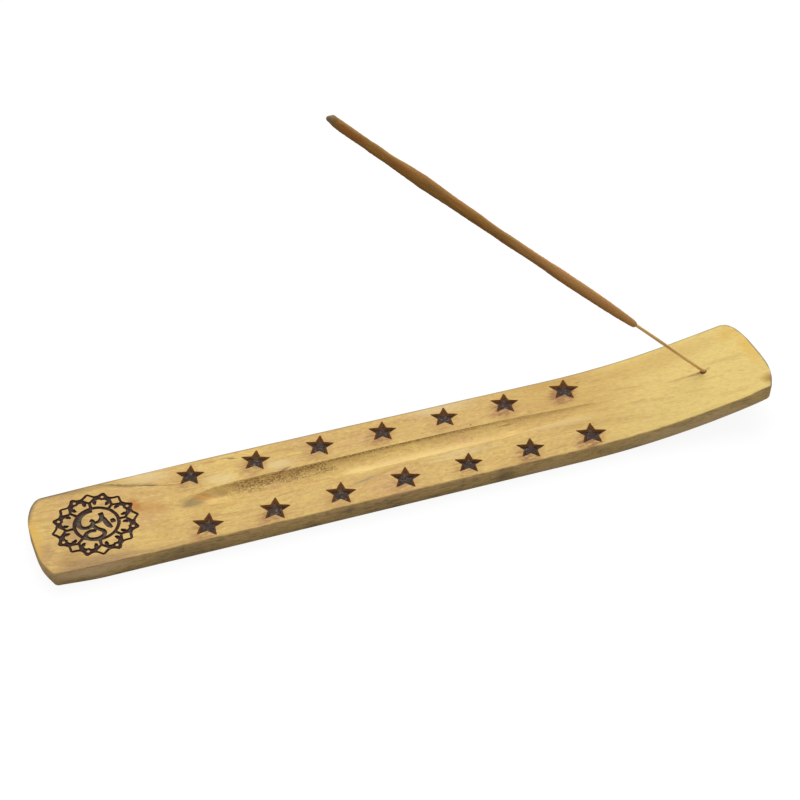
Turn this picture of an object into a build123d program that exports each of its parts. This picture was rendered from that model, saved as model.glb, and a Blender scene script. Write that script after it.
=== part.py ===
from build123d import *
import math
import os

# Incense stick holder: a thin wooden board with an upturned end, a scooped ash groove, two rows of
# sunk stars and a round petal ornament, and an incense stick that leans back over the board.
# Millimetres, +Z up. The origin lies on the table under the middle of the board. +X runs along the
# board from the ornament end, here called the head, to the upturned tip, and +Y across it.

# Board
BOARD_LENGTH = 254.8
BOARD_WIDTH = 36.4
BOARD_THICKNESS = 6.0
UPTURN_LENGTH = 73.4  # the curled stretch, measured back from the tip
UPTURN_RISE = 10.4  # how far the underside has left the table at the tip
TIP_THICKNESS = 5.5  # upright thickness at the tip
HEAD_CORNER_RADIUS = 6.5  # corners in plan
TIP_CORNER_RADIUS = 6.0
HEAD_BOW = 1.6  # how far the end face bows out at its middle
TIP_BOW = 1.5
EDGE_ROUNDING = 0.7

# Ash groove, a round-bottomed scoop along the middle of the top
GROOVE_WIDTH = 8.9
GROOVE_DEPTH = 1.6
GROOVE_SETBACK = 50.9  # from the head to the groove's blunt start
GROOVE_RUN_IN = 20.0  # stretch over which the floor drops to full depth
GROOVE_LEVEL_LENGTH = 61.0
GROOVE_CLIMB_LENGTH = 55.0  # stretch over which the floor climbs slowly
GROOVE_CLIMB = 1.1
GROOVE_RUN_OUT = 16.0  # stretch over which the floor leaves the upturned top

# Stars, sunk on both sides of the groove
STAR_RADIUS = 5.2
STAR_DEPTH = 1.0
STAR_PITCH = 22.16
STAR_ROW_SPACING = 23.4
STAR_SETBACK = 54.3  # from the head to the first pair
STAR_COLUMNS = 7
STAR_POINTS = 5

# Round ornament near the head
ORNAMENT_RADIUS = 14.2  # to the petal tips
PETAL_LENGTH = 2.1  # from the notch between two petals to their tips
PETALS = 16
RING_RADIUS = 7.2
ORNAMENT_LINE = 0.8  # width of an engraved line
ORNAMENT_DEPTH = 0.5
ORNAMENT_SETBACK = 20.7  # from the head to the ornament's centre

# Incense stick and the slanted blind hole that holds it
STICK_ANGLE = 44.0  # degrees above the table
CORE_DIAMETER = 1.4
FOOT_CHAMFER = 0.25
STICK_CLEARANCE = 0.35  # between the core and the wall of the hole
FOOT_CLEARANCE = 0.2  # between the foot and the bottom of the hole
HOLE_SETBACK = 20.4  # from the tip to the middle of the hole's mouth
HOLE_FLOOR = 0.9  # wood left under the hole
BARE_LENGTH = 41.4  # bare splint between the hole's mouth and the paste
COAT_LENGTH = 145.7
COAT_DIAMETER = 3.5  # at the middle
COAT_END_DIAMETER = 2.9
COAT_COVER = 1.5  # paste past the end of the splint

CUT_OVERRUN = 2.0  # how far a cut starts outside the wood

# Places worked out from the sizes above
HEAD_X = -BOARD_LENGTH / 2
TIP_X = BOARD_LENGTH / 2
UPTURN_X = TIP_X - UPTURN_LENGTH
HALF_WIDTH = BOARD_WIDTH / 2
TIP_TOP = UPTURN_RISE + TIP_THICKNESS
CORE_RADIUS = CORE_DIAMETER / 2
HOLE_RADIUS = CORE_RADIUS + STICK_CLEARANCE
HOLE_X = TIP_X - HOLE_SETBACK


def arc_radius(run, rise):
    """Radius of an arc that starts level and climbs by rise over run."""
    return (run**2 + rise**2) / (2 * rise)


TOP_RADIUS = arc_radius(UPTURN_LENGTH, TIP_TOP - BOARD_THICKNESS)


def top_slope(x):
    """Angle, in radians, by which the top climbs at x."""
    return math.asin(max(x - UPTURN_X, 0) / TOP_RADIUS)


def top_height(x):
    """Height of the top above the table at x."""
    return BOARD_THICKNESS + TOP_RADIUS * (1 - math.cos(top_slope(x)))


def star_outline(tip_radius, notch_radius, points):
    """Face of a star with its first tip on +X."""
    corners = []
    for corner in range(2 * points):
        radius = notch_radius if corner % 2 else tip_radius
        corners.append(Vector(radius, 0).rotate(Axis.Z, 180 * corner / points))
    return make_face(Polyline(corners, close=True))


def board_blank():
    """The bent board with rounded corners and soft edges, before any carving."""
    side = Curve() + [
        Line((HEAD_X, 0), (UPTURN_X, 0)),
        TangentArc((UPTURN_X, 0), (TIP_X, UPTURN_RISE), tangent=(1, 0)),
        Line((TIP_X, UPTURN_RISE), (TIP_X, TIP_TOP)),
        TangentArc((UPTURN_X, BOARD_THICKNESS), (TIP_X, TIP_TOP), tangent=(1, 0)),
        Line((UPTURN_X, BOARD_THICKNESS), (HEAD_X, BOARD_THICKNESS)),
        Line((HEAD_X, BOARD_THICKNESS), (HEAD_X, 0)),
    ]
    head_end = HEAD_X + HEAD_BOW
    tip_end = TIP_X - TIP_BOW
    plan = make_face(Curve() + [
        ThreePointArc((head_end, HALF_WIDTH), (HEAD_X, 0), (head_end, -HALF_WIDTH)),
        Line((head_end, -HALF_WIDTH), (tip_end, -HALF_WIDTH)),
        ThreePointArc((tip_end, -HALF_WIDTH), (TIP_X, 0), (tip_end, HALF_WIDTH)),
        Line((tip_end, HALF_WIDTH), (head_end, HALF_WIDTH)),
    ])
    plan = fillet(plan.vertices().group_by(Axis.X)[0], HEAD_CORNER_RADIUS)
    plan = fillet(plan.vertices().group_by(Axis.X)[-1], TIP_CORNER_RADIUS)

    bent = extrude(Plane.XZ * make_face(side), HALF_WIDTH, both=True)
    blank = bent & extrude(plan, TIP_TOP + CUT_OVERRUN)
    rims = ShapeList()
    for face in blank.faces():
        if abs(face.normal_at().Z) < math.cos(math.radians(45)):
            rims += face.edges().filter_by(Axis.Z, reverse=True)
    return fillet(rims, EDGE_ROUNDING)


def groove_cutter():
    """A round bar drawn along the groove's floor: down, level, slowly up, and out at the upturn."""
    floor = BOARD_THICKNESS - GROOVE_DEPTH
    level_x = HEAD_X + GROOVE_SETBACK + GROOVE_RUN_IN
    climb_x = level_x + GROOVE_LEVEL_LENGTH
    out_x = climb_x + GROOVE_CLIMB_LENGTH
    end_x = out_x + GROOVE_RUN_OUT

    run_in_radius = arc_radius(GROOVE_RUN_IN, GROOVE_DEPTH)
    start_rise = GROOVE_DEPTH + CUT_OVERRUN
    start_x = level_x - math.sqrt(start_rise * (2 * run_in_radius - start_rise))
    run_in = TangentArc((level_x, floor), (start_x, floor + start_rise), tangent=(-1, 0))
    level = Line((level_x, floor), (climb_x, floor))
    climb = TangentArc((climb_x, floor), (out_x, floor + GROOVE_CLIMB), tangent=(1, 0))
    run_out = TangentArc(climb @ 1, (end_x, top_height(end_x) + CUT_OVERRUN), tangent=climb % 1)

    path = Plane.XZ * Wire([run_in, level, climb, run_out])
    bar_radius = arc_radius(GROOVE_WIDTH / 2, GROOVE_DEPTH)
    section = Plane(origin=path @ 0, x_dir=(0, 1, 0), z_dir=path % 0)
    upward = 1 if section.y_dir.Z > 0 else -1
    return sweep(section * Pos(0, upward * bar_radius) * Circle(bar_radius), path=path)


def star_cutters():
    """Two rows of upright star prisms, each with one point towards the tip of the board."""
    notch_radius = STAR_RADIUS * math.cos(2 * math.pi / STAR_POINTS) / math.cos(math.pi / STAR_POINTS)
    star = extrude(star_outline(STAR_RADIUS, notch_radius, STAR_POINTS), STAR_DEPTH + CUT_OVERRUN)
    floor = BOARD_THICKNESS - STAR_DEPTH
    cutters = []
    for column in range(STAR_COLUMNS):
        x = HEAD_X + STAR_SETBACK + column * STAR_PITCH
        for row in (-1, 1):
            cutters.append(Pos(x, row * STAR_ROW_SPACING / 2, floor) * star)
    return cutters


def ornament_cutters():
    """A ring and the zigzag line of the petal tips round it."""
    petals = star_outline(ORNAMENT_RADIUS, ORNAMENT_RADIUS - PETAL_LENGTH, PETALS)
    petal_line = petals - offset(petals, -ORNAMENT_LINE, kind=Kind.INTERSECTION)
    ring = Circle(RING_RADIUS) - Circle(RING_RADIUS - ORNAMENT_LINE)
    place = Pos(HEAD_X + ORNAMENT_SETBACK, 0, BOARD_THICKNESS - ORNAMENT_DEPTH)
    return [place * extrude(line, ORNAMENT_DEPTH + CUT_OVERRUN) for line in (petal_line, ring)]


def stick_plane():
    """Plane in the mouth of the hole whose Z runs up the stick."""
    angle = math.radians(STICK_ANGLE)
    return Plane(
        origin=(HOLE_X, 0, top_height(HOLE_X)), x_dir=(0, 1, 0), z_dir=(-math.cos(angle), 0, math.sin(angle))
    )


def hole_depth():
    """Depth along the stick that leaves the floor under the lowest corner of the hole."""
    slope = top_slope(HOLE_X)
    pitch = math.radians(STICK_ANGLE) + slope
    wood = TIP_THICKNESS * math.cos(slope) - HOLE_FLOOR
    return wood / math.sin(pitch) - HOLE_RADIUS / math.tan(pitch)


def hole_cutter():
    """The slanted blind hole, started outside the wood."""
    above = HOLE_RADIUS + CUT_OVERRUN
    return stick_plane() * Pos(0, 0, -hole_depth()) * extrude(Circle(HOLE_RADIUS), hole_depth() + above)


def holder_board():
    """The whole board: blank, groove, stars, ornament and hole."""
    cutters = [groove_cutter(), *star_cutters(), *ornament_cutters(), hole_cutter()]
    return board_blank() - cutters


def stick_core():
    """The round bamboo splint, from the bottom of the hole to just short of the paste's end."""
    foot = FOOT_CLEARANCE - hole_depth()
    head = BARE_LENGTH + COAT_LENGTH - COAT_COVER
    splint = Pos(0, 0, foot) * extrude(Circle(CORE_RADIUS), head - foot)
    splint = chamfer(splint.edges().sort_by(Axis.Z)[0], FOOT_CHAMFER)
    return stick_plane() * splint


def incense_coat():
    """The paste rolled on the splint: thickest at the middle, rounded at both ends."""
    end_radius = COAT_END_DIAMETER / 2
    shoulder = end_radius - CORE_RADIUS
    start = BARE_LENGTH
    end = BARE_LENGTH + COAT_LENGTH
    splint_end = end - COAT_COVER
    half = make_face(Curve() + [
        Line((CORE_RADIUS, start), (CORE_RADIUS, splint_end)),
        Line((CORE_RADIUS, splint_end), (0, splint_end)),
        Line((0, splint_end), (0, end)),
        CenterArc((0, end - end_radius), end_radius, 0, 90),
        ThreePointArc(
            (end_radius, start + shoulder), (COAT_DIAMETER / 2, (start + end) / 2), (end_radius, end - end_radius)
        ),
        CenterArc((CORE_RADIUS, start + shoulder), shoulder, -90, 90),
    ])
    return stick_plane() * revolve(Plane.XZ * half, Axis.Z)


os.makedirs("parts", exist_ok=True)
for build in (holder_board, stick_core, incense_coat):
    export_step(build(), f"parts/{build.__name__}.step")
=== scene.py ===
"""Looks of the incense stick holder: a carved wooden board with one incense stick leaning out of it.

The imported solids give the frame. The board is modelled again with its hand-sanded corners, scooped
groove, burnt stars and burnt petal ornament, and the stick as a split bamboo splint with a lumpy
roll of incense paste. Lengths are metres; MM turns the millimetres of the drawing into metres.
"""
import logging
import math
import random
from dataclasses import dataclass, field
from enum import Enum
from functools import cached_property
from typing import Callable, Iterable, Iterator, Sequence, Union

import bmesh
import bpy
import numpy as np
from mathutils import Matrix, Vector


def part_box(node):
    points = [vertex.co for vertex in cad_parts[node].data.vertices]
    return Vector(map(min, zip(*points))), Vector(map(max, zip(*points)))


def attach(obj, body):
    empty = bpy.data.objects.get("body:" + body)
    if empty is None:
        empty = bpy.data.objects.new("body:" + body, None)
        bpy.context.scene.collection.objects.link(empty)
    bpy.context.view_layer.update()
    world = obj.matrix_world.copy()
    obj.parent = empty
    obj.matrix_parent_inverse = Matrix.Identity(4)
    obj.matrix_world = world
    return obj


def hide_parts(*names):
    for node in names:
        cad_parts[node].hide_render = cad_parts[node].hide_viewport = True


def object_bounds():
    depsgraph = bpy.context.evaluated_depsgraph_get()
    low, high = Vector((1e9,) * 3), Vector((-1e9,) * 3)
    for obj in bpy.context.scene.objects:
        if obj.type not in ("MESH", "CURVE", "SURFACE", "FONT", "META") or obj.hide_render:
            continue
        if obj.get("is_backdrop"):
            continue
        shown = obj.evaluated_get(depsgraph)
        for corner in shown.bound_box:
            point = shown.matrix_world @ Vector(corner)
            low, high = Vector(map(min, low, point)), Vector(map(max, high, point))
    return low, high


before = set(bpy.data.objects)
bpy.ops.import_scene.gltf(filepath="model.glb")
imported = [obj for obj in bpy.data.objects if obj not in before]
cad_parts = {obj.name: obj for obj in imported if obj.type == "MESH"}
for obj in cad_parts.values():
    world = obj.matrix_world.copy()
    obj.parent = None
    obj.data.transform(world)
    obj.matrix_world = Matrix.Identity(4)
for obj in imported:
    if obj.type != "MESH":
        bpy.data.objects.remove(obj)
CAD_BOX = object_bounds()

MM = 0.001
LOG = logging.getLogger("incense_holder")

Colour = tuple[float, float, float, float]
Number = Union[float, "Wire"]
Coat = tuple[Union["Wire", Colour], Number]
Points = tuple[tuple[float, float, float], ...]


class MeshPart(Enum):
    """What a selection in edit mode is made of."""

    POINT = "VERT"
    EDGE = "EDGE"
    FACE = "FACE"


class Body(Enum):
    """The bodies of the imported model."""

    BOARD = "board"
    STICK = "incense_stick"


class Line(Enum):
    """Widths and depths, in millimetres, of the lines burnt into the ornament."""

    FINE = (0.7, 0.42)
    PLAIN = (0.8, 0.46)
    RING = (1.0, 0.44)
    BROAD = (1.28, 0.58)
    FAINT = (1.35, 0.6)


def tone(red: int, green: int, blue: int) -> Colour:
    """Turn a screen colour into the linear colour that shaders take.

    Args:
        red: red part, 0 to 255.
        green: green part, 0 to 255.
        blue: blue part, 0 to 255.

    Returns:
        The linear colour with full alpha.
    """
    parts = [part / 255 for part in (red, green, blue)]
    linear = [p / 12.92 if p <= 0.04045 else ((p + 0.055) / 1.055) ** 2.4 for p in parts]
    return (linear[0], linear[1], linear[2], 1.0)


def ramp(value: np.ndarray | float, low: float, high: float) -> np.ndarray:
    """A straight rise from 0 at one value to 1 at the other.

    Args:
        value: the values.
        low: value that gives 0.
        high: value that gives 1; it may lie below low.

    Returns:
        The rise, between 0 and 1.
    """
    return np.clip((value - low) / (high - low), 0, 1)


class Wire:
    """One shader value that takes part in Python expressions."""

    def __init__(self, tree: "FinishTree", socket: bpy.types.NodeSocket) -> None:
        """Wrap a socket of a node tree."""
        self.tree = tree
        self.socket = socket

    def __add__(self, other: Number) -> "Wire":
        """Sum of two values."""
        return self.tree.math("ADD", self, other)

    def __radd__(self, other: Number) -> "Wire":
        """Sum of two values, reflected."""
        return self.tree.math("ADD", other, self)

    def __sub__(self, other: Number) -> "Wire":
        """Difference of two values."""
        return self.tree.math("SUBTRACT", self, other)

    def __rsub__(self, other: Number) -> "Wire":
        """Difference of two values, reflected."""
        return self.tree.math("SUBTRACT", other, self)

    def __mul__(self, other: Number) -> "Wire":
        """Product of two values."""
        return self.tree.math("MULTIPLY", self, other)

    def __rmul__(self, other: Number) -> "Wire":
        """Product of two values, reflected."""
        return self.tree.math("MULTIPLY", other, self)

    def __truediv__(self, other: Number) -> "Wire":
        """Quotient of two values."""
        return self.tree.math("DIVIDE", self, other)

    def __rtruediv__(self, other: Number) -> "Wire":
        """Quotient of two values, reflected."""
        return self.tree.math("DIVIDE", other, self)

    def __abs__(self) -> "Wire":
        """Size of the value without its sign."""
        return self.tree.math("ABSOLUTE", self)

    def at_least(self, other: Number) -> "Wire":
        """The larger of two values."""
        return self.tree.math("MAXIMUM", self, other)

    def at_most(self, other: Number) -> "Wire":
        """The smaller of two values."""
        return self.tree.math("MINIMUM", self, other)

    def step(self, low: float, high: float) -> "Wire":
        """A soft step from 0 at one value to 1 at the other.

        Args:
            low: value that gives 0.
            high: value that gives 1; it may lie below low.

        Returns:
            The step, between 0 and 1.
        """
        node = self.tree.node(
            "ShaderNodeMapRange",
            {"interpolation_type": "SMOOTHSTEP"},
            {"Value": self, "From Min": low, "From Max": high, "To Min": 0.0, "To Max": 1.0},
        )
        return self.tree.out(node, "Result")


class FinishTree:
    """The node tree of one finish, with one method that adds any node."""

    def __init__(self, owner: Union[bpy.types.Material, bpy.types.World]) -> None:
        """Start an empty tree on a material or a world.

        Args:
            owner: the data block whose nodes are written.
        """
        owner.use_nodes = True
        self.owner = owner
        self.nodes = owner.node_tree.nodes
        self.links = owner.node_tree.links
        self.nodes.clear()

    @staticmethod
    def _find(sockets: Iterable[bpy.types.NodeSocket], name: str) -> bpy.types.NodeSocket:
        """Find a socket by its identifier, or else by its name.

        Args:
            sockets: the sockets of a node.
            name: identifier or name.

        Returns:
            The socket.
        """
        listed = list(sockets)
        return next((s for s in listed if s.identifier == name), None) or next(
            s for s in listed if s.name == name)

    def node(self, kind: str, settings: dict[str, object] | None = None,
             sockets: dict[str, object] | None = None) -> bpy.types.Node:
        """Add one node.

        Args:
            kind: the node's type.
            settings: the node's own settings, set first; "stops" are a ramp's stops and
                "stop_blend" says how it goes from one to the next.
            sockets: values or wires for its input sockets.

        Returns:
            The node.
        """
        node = self.nodes.new(kind)
        for name, value in (settings or {}).items():
            if name == "stops":
                ramp = node.color_ramp.elements
                while len(ramp) < len(value):
                    ramp.new(0.5)
                for stop, (place, colour) in zip(ramp, value):
                    stop.position = place
                    stop.color = colour
            elif name == "stop_blend":
                node.color_ramp.interpolation = value
            else:
                setattr(node, name, value)
        for name, value in (sockets or {}).items():
            socket = self._find(node.inputs, name)
            if isinstance(value, Wire):
                self.links.new(value.socket, socket)
            else:
                socket.default_value = value
        return node

    def out(self, node: bpy.types.Node, name: str) -> Wire:
        """Wrap one output of a node."""
        return Wire(self, self._find(node.outputs, name))

    def math(self, operation: str, first: Number, second: Number = 0.0) -> Wire:
        """Add a Math node.

        Args:
            operation: the node's operation.
            first: first value or wire.
            second: second value or wire.

        Returns:
            The result.
        """
        node = self.node("ShaderNodeMath", {"operation": operation}, {"Value": first, "Value_001": second})
        return self.out(node, "Value")

    def place(self) -> Wire:
        """Read the object coordinates in millimetres.

        Returns:
            The coordinates.
        """
        coordinates = self.out(self.node("ShaderNodeTexCoord"), "Object")
        node = self.node("ShaderNodeVectorMath", {"operation": "SCALE"},
                         {"Vector": coordinates, "Scale": 1 / MM})
        return self.out(node, "Vector")

    def split(self, vector: Wire) -> tuple[Wire, Wire, Wire]:
        """Take a vector apart into its three numbers."""
        node = self.node("ShaderNodeSeparateXYZ", None, {"Vector": vector})
        return self.out(node, "X"), self.out(node, "Y"), self.out(node, "Z")

    def join(self, x: Number, y: Number, z: Number) -> Wire:
        """Put three numbers together into a vector."""
        node = self.node("ShaderNodeCombineXYZ", None, {"X": x, "Y": y, "Z": z})
        return self.out(node, "Vector")

    def within(self, vector: Wire, middle: Sequence[float], turn: Sequence[float],
               size: Sequence[float]) -> Wire:
        """Read a vector in a frame of its own.

        Args:
            vector: the place in the outer frame.
            middle: origin of the inner frame.
            turn: turn of the inner frame, in radians.
            size: length of its unit along each axis.

        Returns:
            The place in the inner frame.
        """
        node = self.node(
            "ShaderNodeMapping", {"vector_type": "TEXTURE"},
            {"Vector": vector, "Location": tuple(middle), "Rotation": tuple(turn), "Scale": tuple(size)})
        return self.out(node, "Vector")

    def length(self, vector: Wire) -> Wire:
        """Length of a vector."""
        node = self.node("ShaderNodeVectorMath", {"operation": "LENGTH"}, {"Vector": vector})
        return self.out(node, "Value")

    def grain(self, vector: Wire, pitch: Sequence[float], shift: float = 0.0, detail: float = 3.0,
              rough: float = 0.55) -> Wire:
        """Cloudy noise with its own pitch along each axis.

        Args:
            vector: where the noise is read.
            pitch: size of its features along each axis, in the vector's units.
            shift: moves the noise, so that two layers differ.
            detail: number of finer layers.
            rough: strength of the finer layers.

        Returns:
            A value round 0.5.
        """
        scaled = self.node(
            "ShaderNodeVectorMath", {"operation": "MULTIPLY_ADD"},
            {"Vector": vector, "Vector_001": tuple(1 / p for p in pitch), "Vector_002": (shift,) * 3})
        node = self.node("ShaderNodeTexNoise", {"noise_dimensions": "3D"},
                         {"Vector": self.out(scaled, "Vector"), "Scale": 1.0, "Detail": detail,
                          "Roughness": rough})
        return Wire(self, node.outputs[0])

    def dot(self, vector: Wire, direction: Sequence[float]) -> Wire:
        """Measure a vector along a direction.

        Args:
            vector: the vector.
            direction: the direction, of length 1.

        Returns:
            The length along it.
        """
        node = self.node("ShaderNodeVectorMath", {"operation": "DOT_PRODUCT"},
                         {"Vector": vector, "Vector_001": tuple(direction)})
        return self.out(node, "Value")

    def mix(self, first: Wire | Colour, second: Wire | Colour, share: Number) -> Wire:
        """Mix two colours.

        Args:
            first: colour at share 0.
            second: colour at share 1.
            share: how much of the second colour.

        Returns:
            The mixed colour.
        """
        node = self.node("ShaderNodeMix", {"data_type": "RGBA", "clamp_factor": True},
                         {"Factor_Float": share, "A_Color": first, "B_Color": second})
        return self.out(node, "Result_Color")

    def layer(self, colour: Wire | Colour, *groups: Iterable[Coat]) -> Wire | Colour:
        """Lay coats of other colours over a colour.

        Args:
            colour: colour underneath.
            *groups: groups of coats, each coat a colour and its share, the lowest first.

        Returns:
            The covered colour.
        """
        for group in groups:
            for coat, share in group:
                colour = self.mix(colour, coat, share)
        return colour

    def dull(self, colour: Wire, roughness: Number, height: Wire, relief: float, sheen: float = 0.3) -> None:
        """Close the tree with a mostly matt surface.

        Args:
            colour: the surface's colour.
            roughness: its roughness.
            height: height for the bump, round 0 to 1.
            relief: depth in metres that a height of 1 stands for.
            sheen: specular level.
        """
        bump = self.node("ShaderNodeBump", None,
                         {"Strength": 1.0, "Distance": relief, "Height": height})
        surface = self.node(
            "ShaderNodeBsdfPrincipled", None,
            {"Base Color": colour, "Roughness": roughness, "Specular IOR Level": sheen,
             "Normal": self.out(bump, "Normal")})
        self.node("ShaderNodeOutputMaterial", None, {"Surface": self.out(surface, "BSDF")})


class Bench:
    """Modelling moves made with Blender's own operators."""

    @staticmethod
    def clear() -> None:
        """Leave edit mode and deselect everything."""
        active = bpy.context.view_layer.objects.active
        if active is not None and active.mode != "OBJECT":
            bpy.ops.object.mode_set(mode="OBJECT")
        bpy.ops.object.select_all(action="DESELECT")

    @classmethod
    def take(cls, *pieces: bpy.types.Object) -> None:
        """Select some objects alone.

        Args:
            *pieces: the objects; the first becomes the active one.
        """
        cls.clear()
        for piece in pieces:
            piece.select_set(True)
        bpy.context.view_layer.objects.active = pieces[0]

    @classmethod
    def add(cls, operator: Callable[..., set[str]], name: str, **sizes: object) -> bpy.types.Object:
        """Add a primitive and put its place into its mesh.

        Args:
            operator: the operator that adds it.
            name: name of the new object.
            **sizes: the operator's own settings.

        Returns:
            The new object, at the origin.
        """
        cls.clear()
        operator(**sizes)
        piece = bpy.context.object
        piece.name = name
        piece.data.name = name
        bpy.ops.object.transform_apply(location=True, rotation=True, scale=True)
        return piece

    @classmethod
    def edit(cls, piece: bpy.types.Object) -> None:
        """Open an object in edit mode with all of it selected.

        Args:
            piece: the object.
        """
        cls.take(piece)
        bpy.ops.object.mode_set(mode="EDIT")
        bpy.ops.mesh.select_mode(type="VERT")
        bpy.ops.mesh.select_all(action="SELECT")

    @staticmethod
    def done() -> None:
        """Go back to object mode."""
        bpy.ops.object.mode_set(mode="OBJECT")

    @staticmethod
    def pick(piece: bpy.types.Object, part: MeshPart, test: Callable[[Vector, Vector], bool]) -> None:
        """Select parts of the mesh in edit mode.

        Args:
            piece: the object in edit mode.
            part: points, edges or faces.
            test: says for a part's middle and normal whether it is taken.
        """
        bpy.ops.mesh.select_mode(type=part.value)
        bpy.ops.mesh.select_all(action="DESELECT")
        mesh = bmesh.from_edit_mesh(piece.data)
        if part is MeshPart.POINT:
            for point in mesh.verts:
                point.select_set(test(point.co, point.normal))
        elif part is MeshPart.EDGE:
            for edge in mesh.edges:
                middle = (edge.verts[0].co + edge.verts[1].co) / 2
                edge.select_set(test(middle, edge.verts[1].co - edge.verts[0].co))
        else:
            for face in mesh.faces:
                face.select_set(test(face.calc_center_median(), face.normal))
        mesh.select_flush_mode()
        bmesh.update_edit_mesh(piece.data)

    @staticmethod
    def slice(planes: Iterable[tuple[Vector, Vector]]) -> None:
        """Cut the mesh in edit mode along some planes, keeping both sides.

        Args:
            planes: a point and a normal for each plane.
        """
        for point, normal in planes:
            bpy.ops.mesh.select_all(action="SELECT")
            bpy.ops.mesh.bisect(plane_co=point, plane_no=normal)
        bpy.ops.mesh.select_all(action="SELECT")

    @staticmethod
    def shape(piece: bpy.types.Object, move: Callable[[np.ndarray], np.ndarray]) -> None:
        """Move all points of a mesh by a rule, where no edit operator bends it.

        Args:
            piece: the object, in object mode.
            move: takes and gives the points as rows of x, y, z.
        """
        points = np.empty(len(piece.data.vertices) * 3)
        piece.data.vertices.foreach_get("co", points)
        piece.data.vertices.foreach_set("co", move(points.reshape(-1, 3)).ravel())
        piece.data.update()

    @classmethod
    def modify(cls, piece: bpy.types.Object, kind: str, **settings: object) -> None:
        """Add a modifier and apply it.

        Args:
            piece: the object.
            kind: the modifier's type.
            **settings: its settings.
        """
        cls.take(piece)
        bpy.ops.object.modifier_add(type=kind)
        modifier = piece.modifiers[-1]
        for name, value in settings.items():
            setattr(modifier, name, value)
        bpy.ops.object.modifier_apply(modifier=modifier.name)

    @classmethod
    def roughen(cls, piece: bpy.types.Object, pitch: float, depth: float, where: Callable[[Vector], float],
                seed_shift: float = 0.0) -> None:
        """Push the surface in and out with cloudy noise.

        Args:
            piece: the object.
            pitch: size of the lumps.
            depth: whole height between hollows and lumps.
            where: strength, 0 to 1, at a point.
            seed_shift: moves the noise along X, so that two pieces differ.
        """
        group = piece.vertex_groups.new(name="worn")
        for point in piece.data.vertices:
            strength = where(point.co)
            if strength > 0:
                group.add([point.index], strength, "REPLACE")
        clouds = bpy.data.textures.new(piece.name + "_clouds", "CLOUDS")
        clouds.noise_scale = pitch
        clouds.noise_depth = 2
        cls.shape(piece, lambda points: points + np.array([seed_shift, 0, 0]))
        cls.modify(piece, "DISPLACE", texture=clouds, texture_coords="LOCAL", strength=depth,
                   mid_level=0.5, vertex_group="worn")
        cls.shape(piece, lambda points: points - np.array([seed_shift, 0, 0]))
        piece.vertex_groups.clear()
        bpy.data.textures.remove(clouds)

    @classmethod
    def carve(cls, piece: bpy.types.Object, cutter: bpy.types.Object) -> None:
        """Cut one mesh out of another and throw the cutter away.

        Args:
            piece: the object that is cut; it takes over the cutter's material on the cut.
            cutter: the closed mesh that cuts; it must not cross itself.
        """
        cls.modify(piece, "BOOLEAN", object=cutter, operation="DIFFERENCE", solver="EXACT",
                   material_mode="TRANSFER")
        bpy.data.objects.remove(cutter, do_unlink=True)

    @classmethod
    def stamp(cls, model: bpy.types.Object, place: Matrix) -> bpy.types.Object:
        """Copy a model, mesh and all, to a place.

        Args:
            model: the object to copy.
            place: where the copy goes; it is put into the copy's mesh.

        Returns:
            The copy.
        """
        copy = model.copy()
        copy.data = model.data.copy()
        bpy.context.collection.objects.link(copy)
        copy.matrix_world = place
        cls.take(copy)
        bpy.ops.object.transform_apply(location=True, rotation=True, scale=True)
        return copy

    @classmethod
    def merge(cls, pieces: Sequence[bpy.types.Object], name: str) -> bpy.types.Object:
        """Join several objects into one.

        Args:
            pieces: the objects; the first one stays.
            name: name of the joined object.

        Returns:
            The joined object.
        """
        cls.take(*pieces)
        bpy.ops.object.join()
        pieces[0].name = name
        return pieces[0]

    @classmethod
    def close(cls, piece: bpy.types.Object, gap: float = 1e-7) -> None:
        """Merge doubled points and turn all faces outwards.

        Args:
            piece: the object.
            gap: points closer than this become one.
        """
        cls.edit(piece)
        bpy.ops.mesh.remove_doubles(threshold=gap)
        bpy.ops.mesh.normals_make_consistent(inside=False)
        cls.done()

    @classmethod
    def smooth(cls, piece: bpy.types.Object, degrees: float) -> None:
        """Shade a mesh smooth except over edges sharper than an angle."""
        cls.take(piece)
        bpy.ops.object.shade_smooth_by_angle(angle=math.radians(degrees))

    @staticmethod
    def dress(piece: bpy.types.Object, *finishes: bpy.types.Material) -> None:
        """Give an object its materials.

        Args:
            piece: the object.
            *finishes: the materials, in slot order.
        """
        piece.data.materials.clear()
        for finish in finishes:
            piece.data.materials.append(finish)


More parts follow.
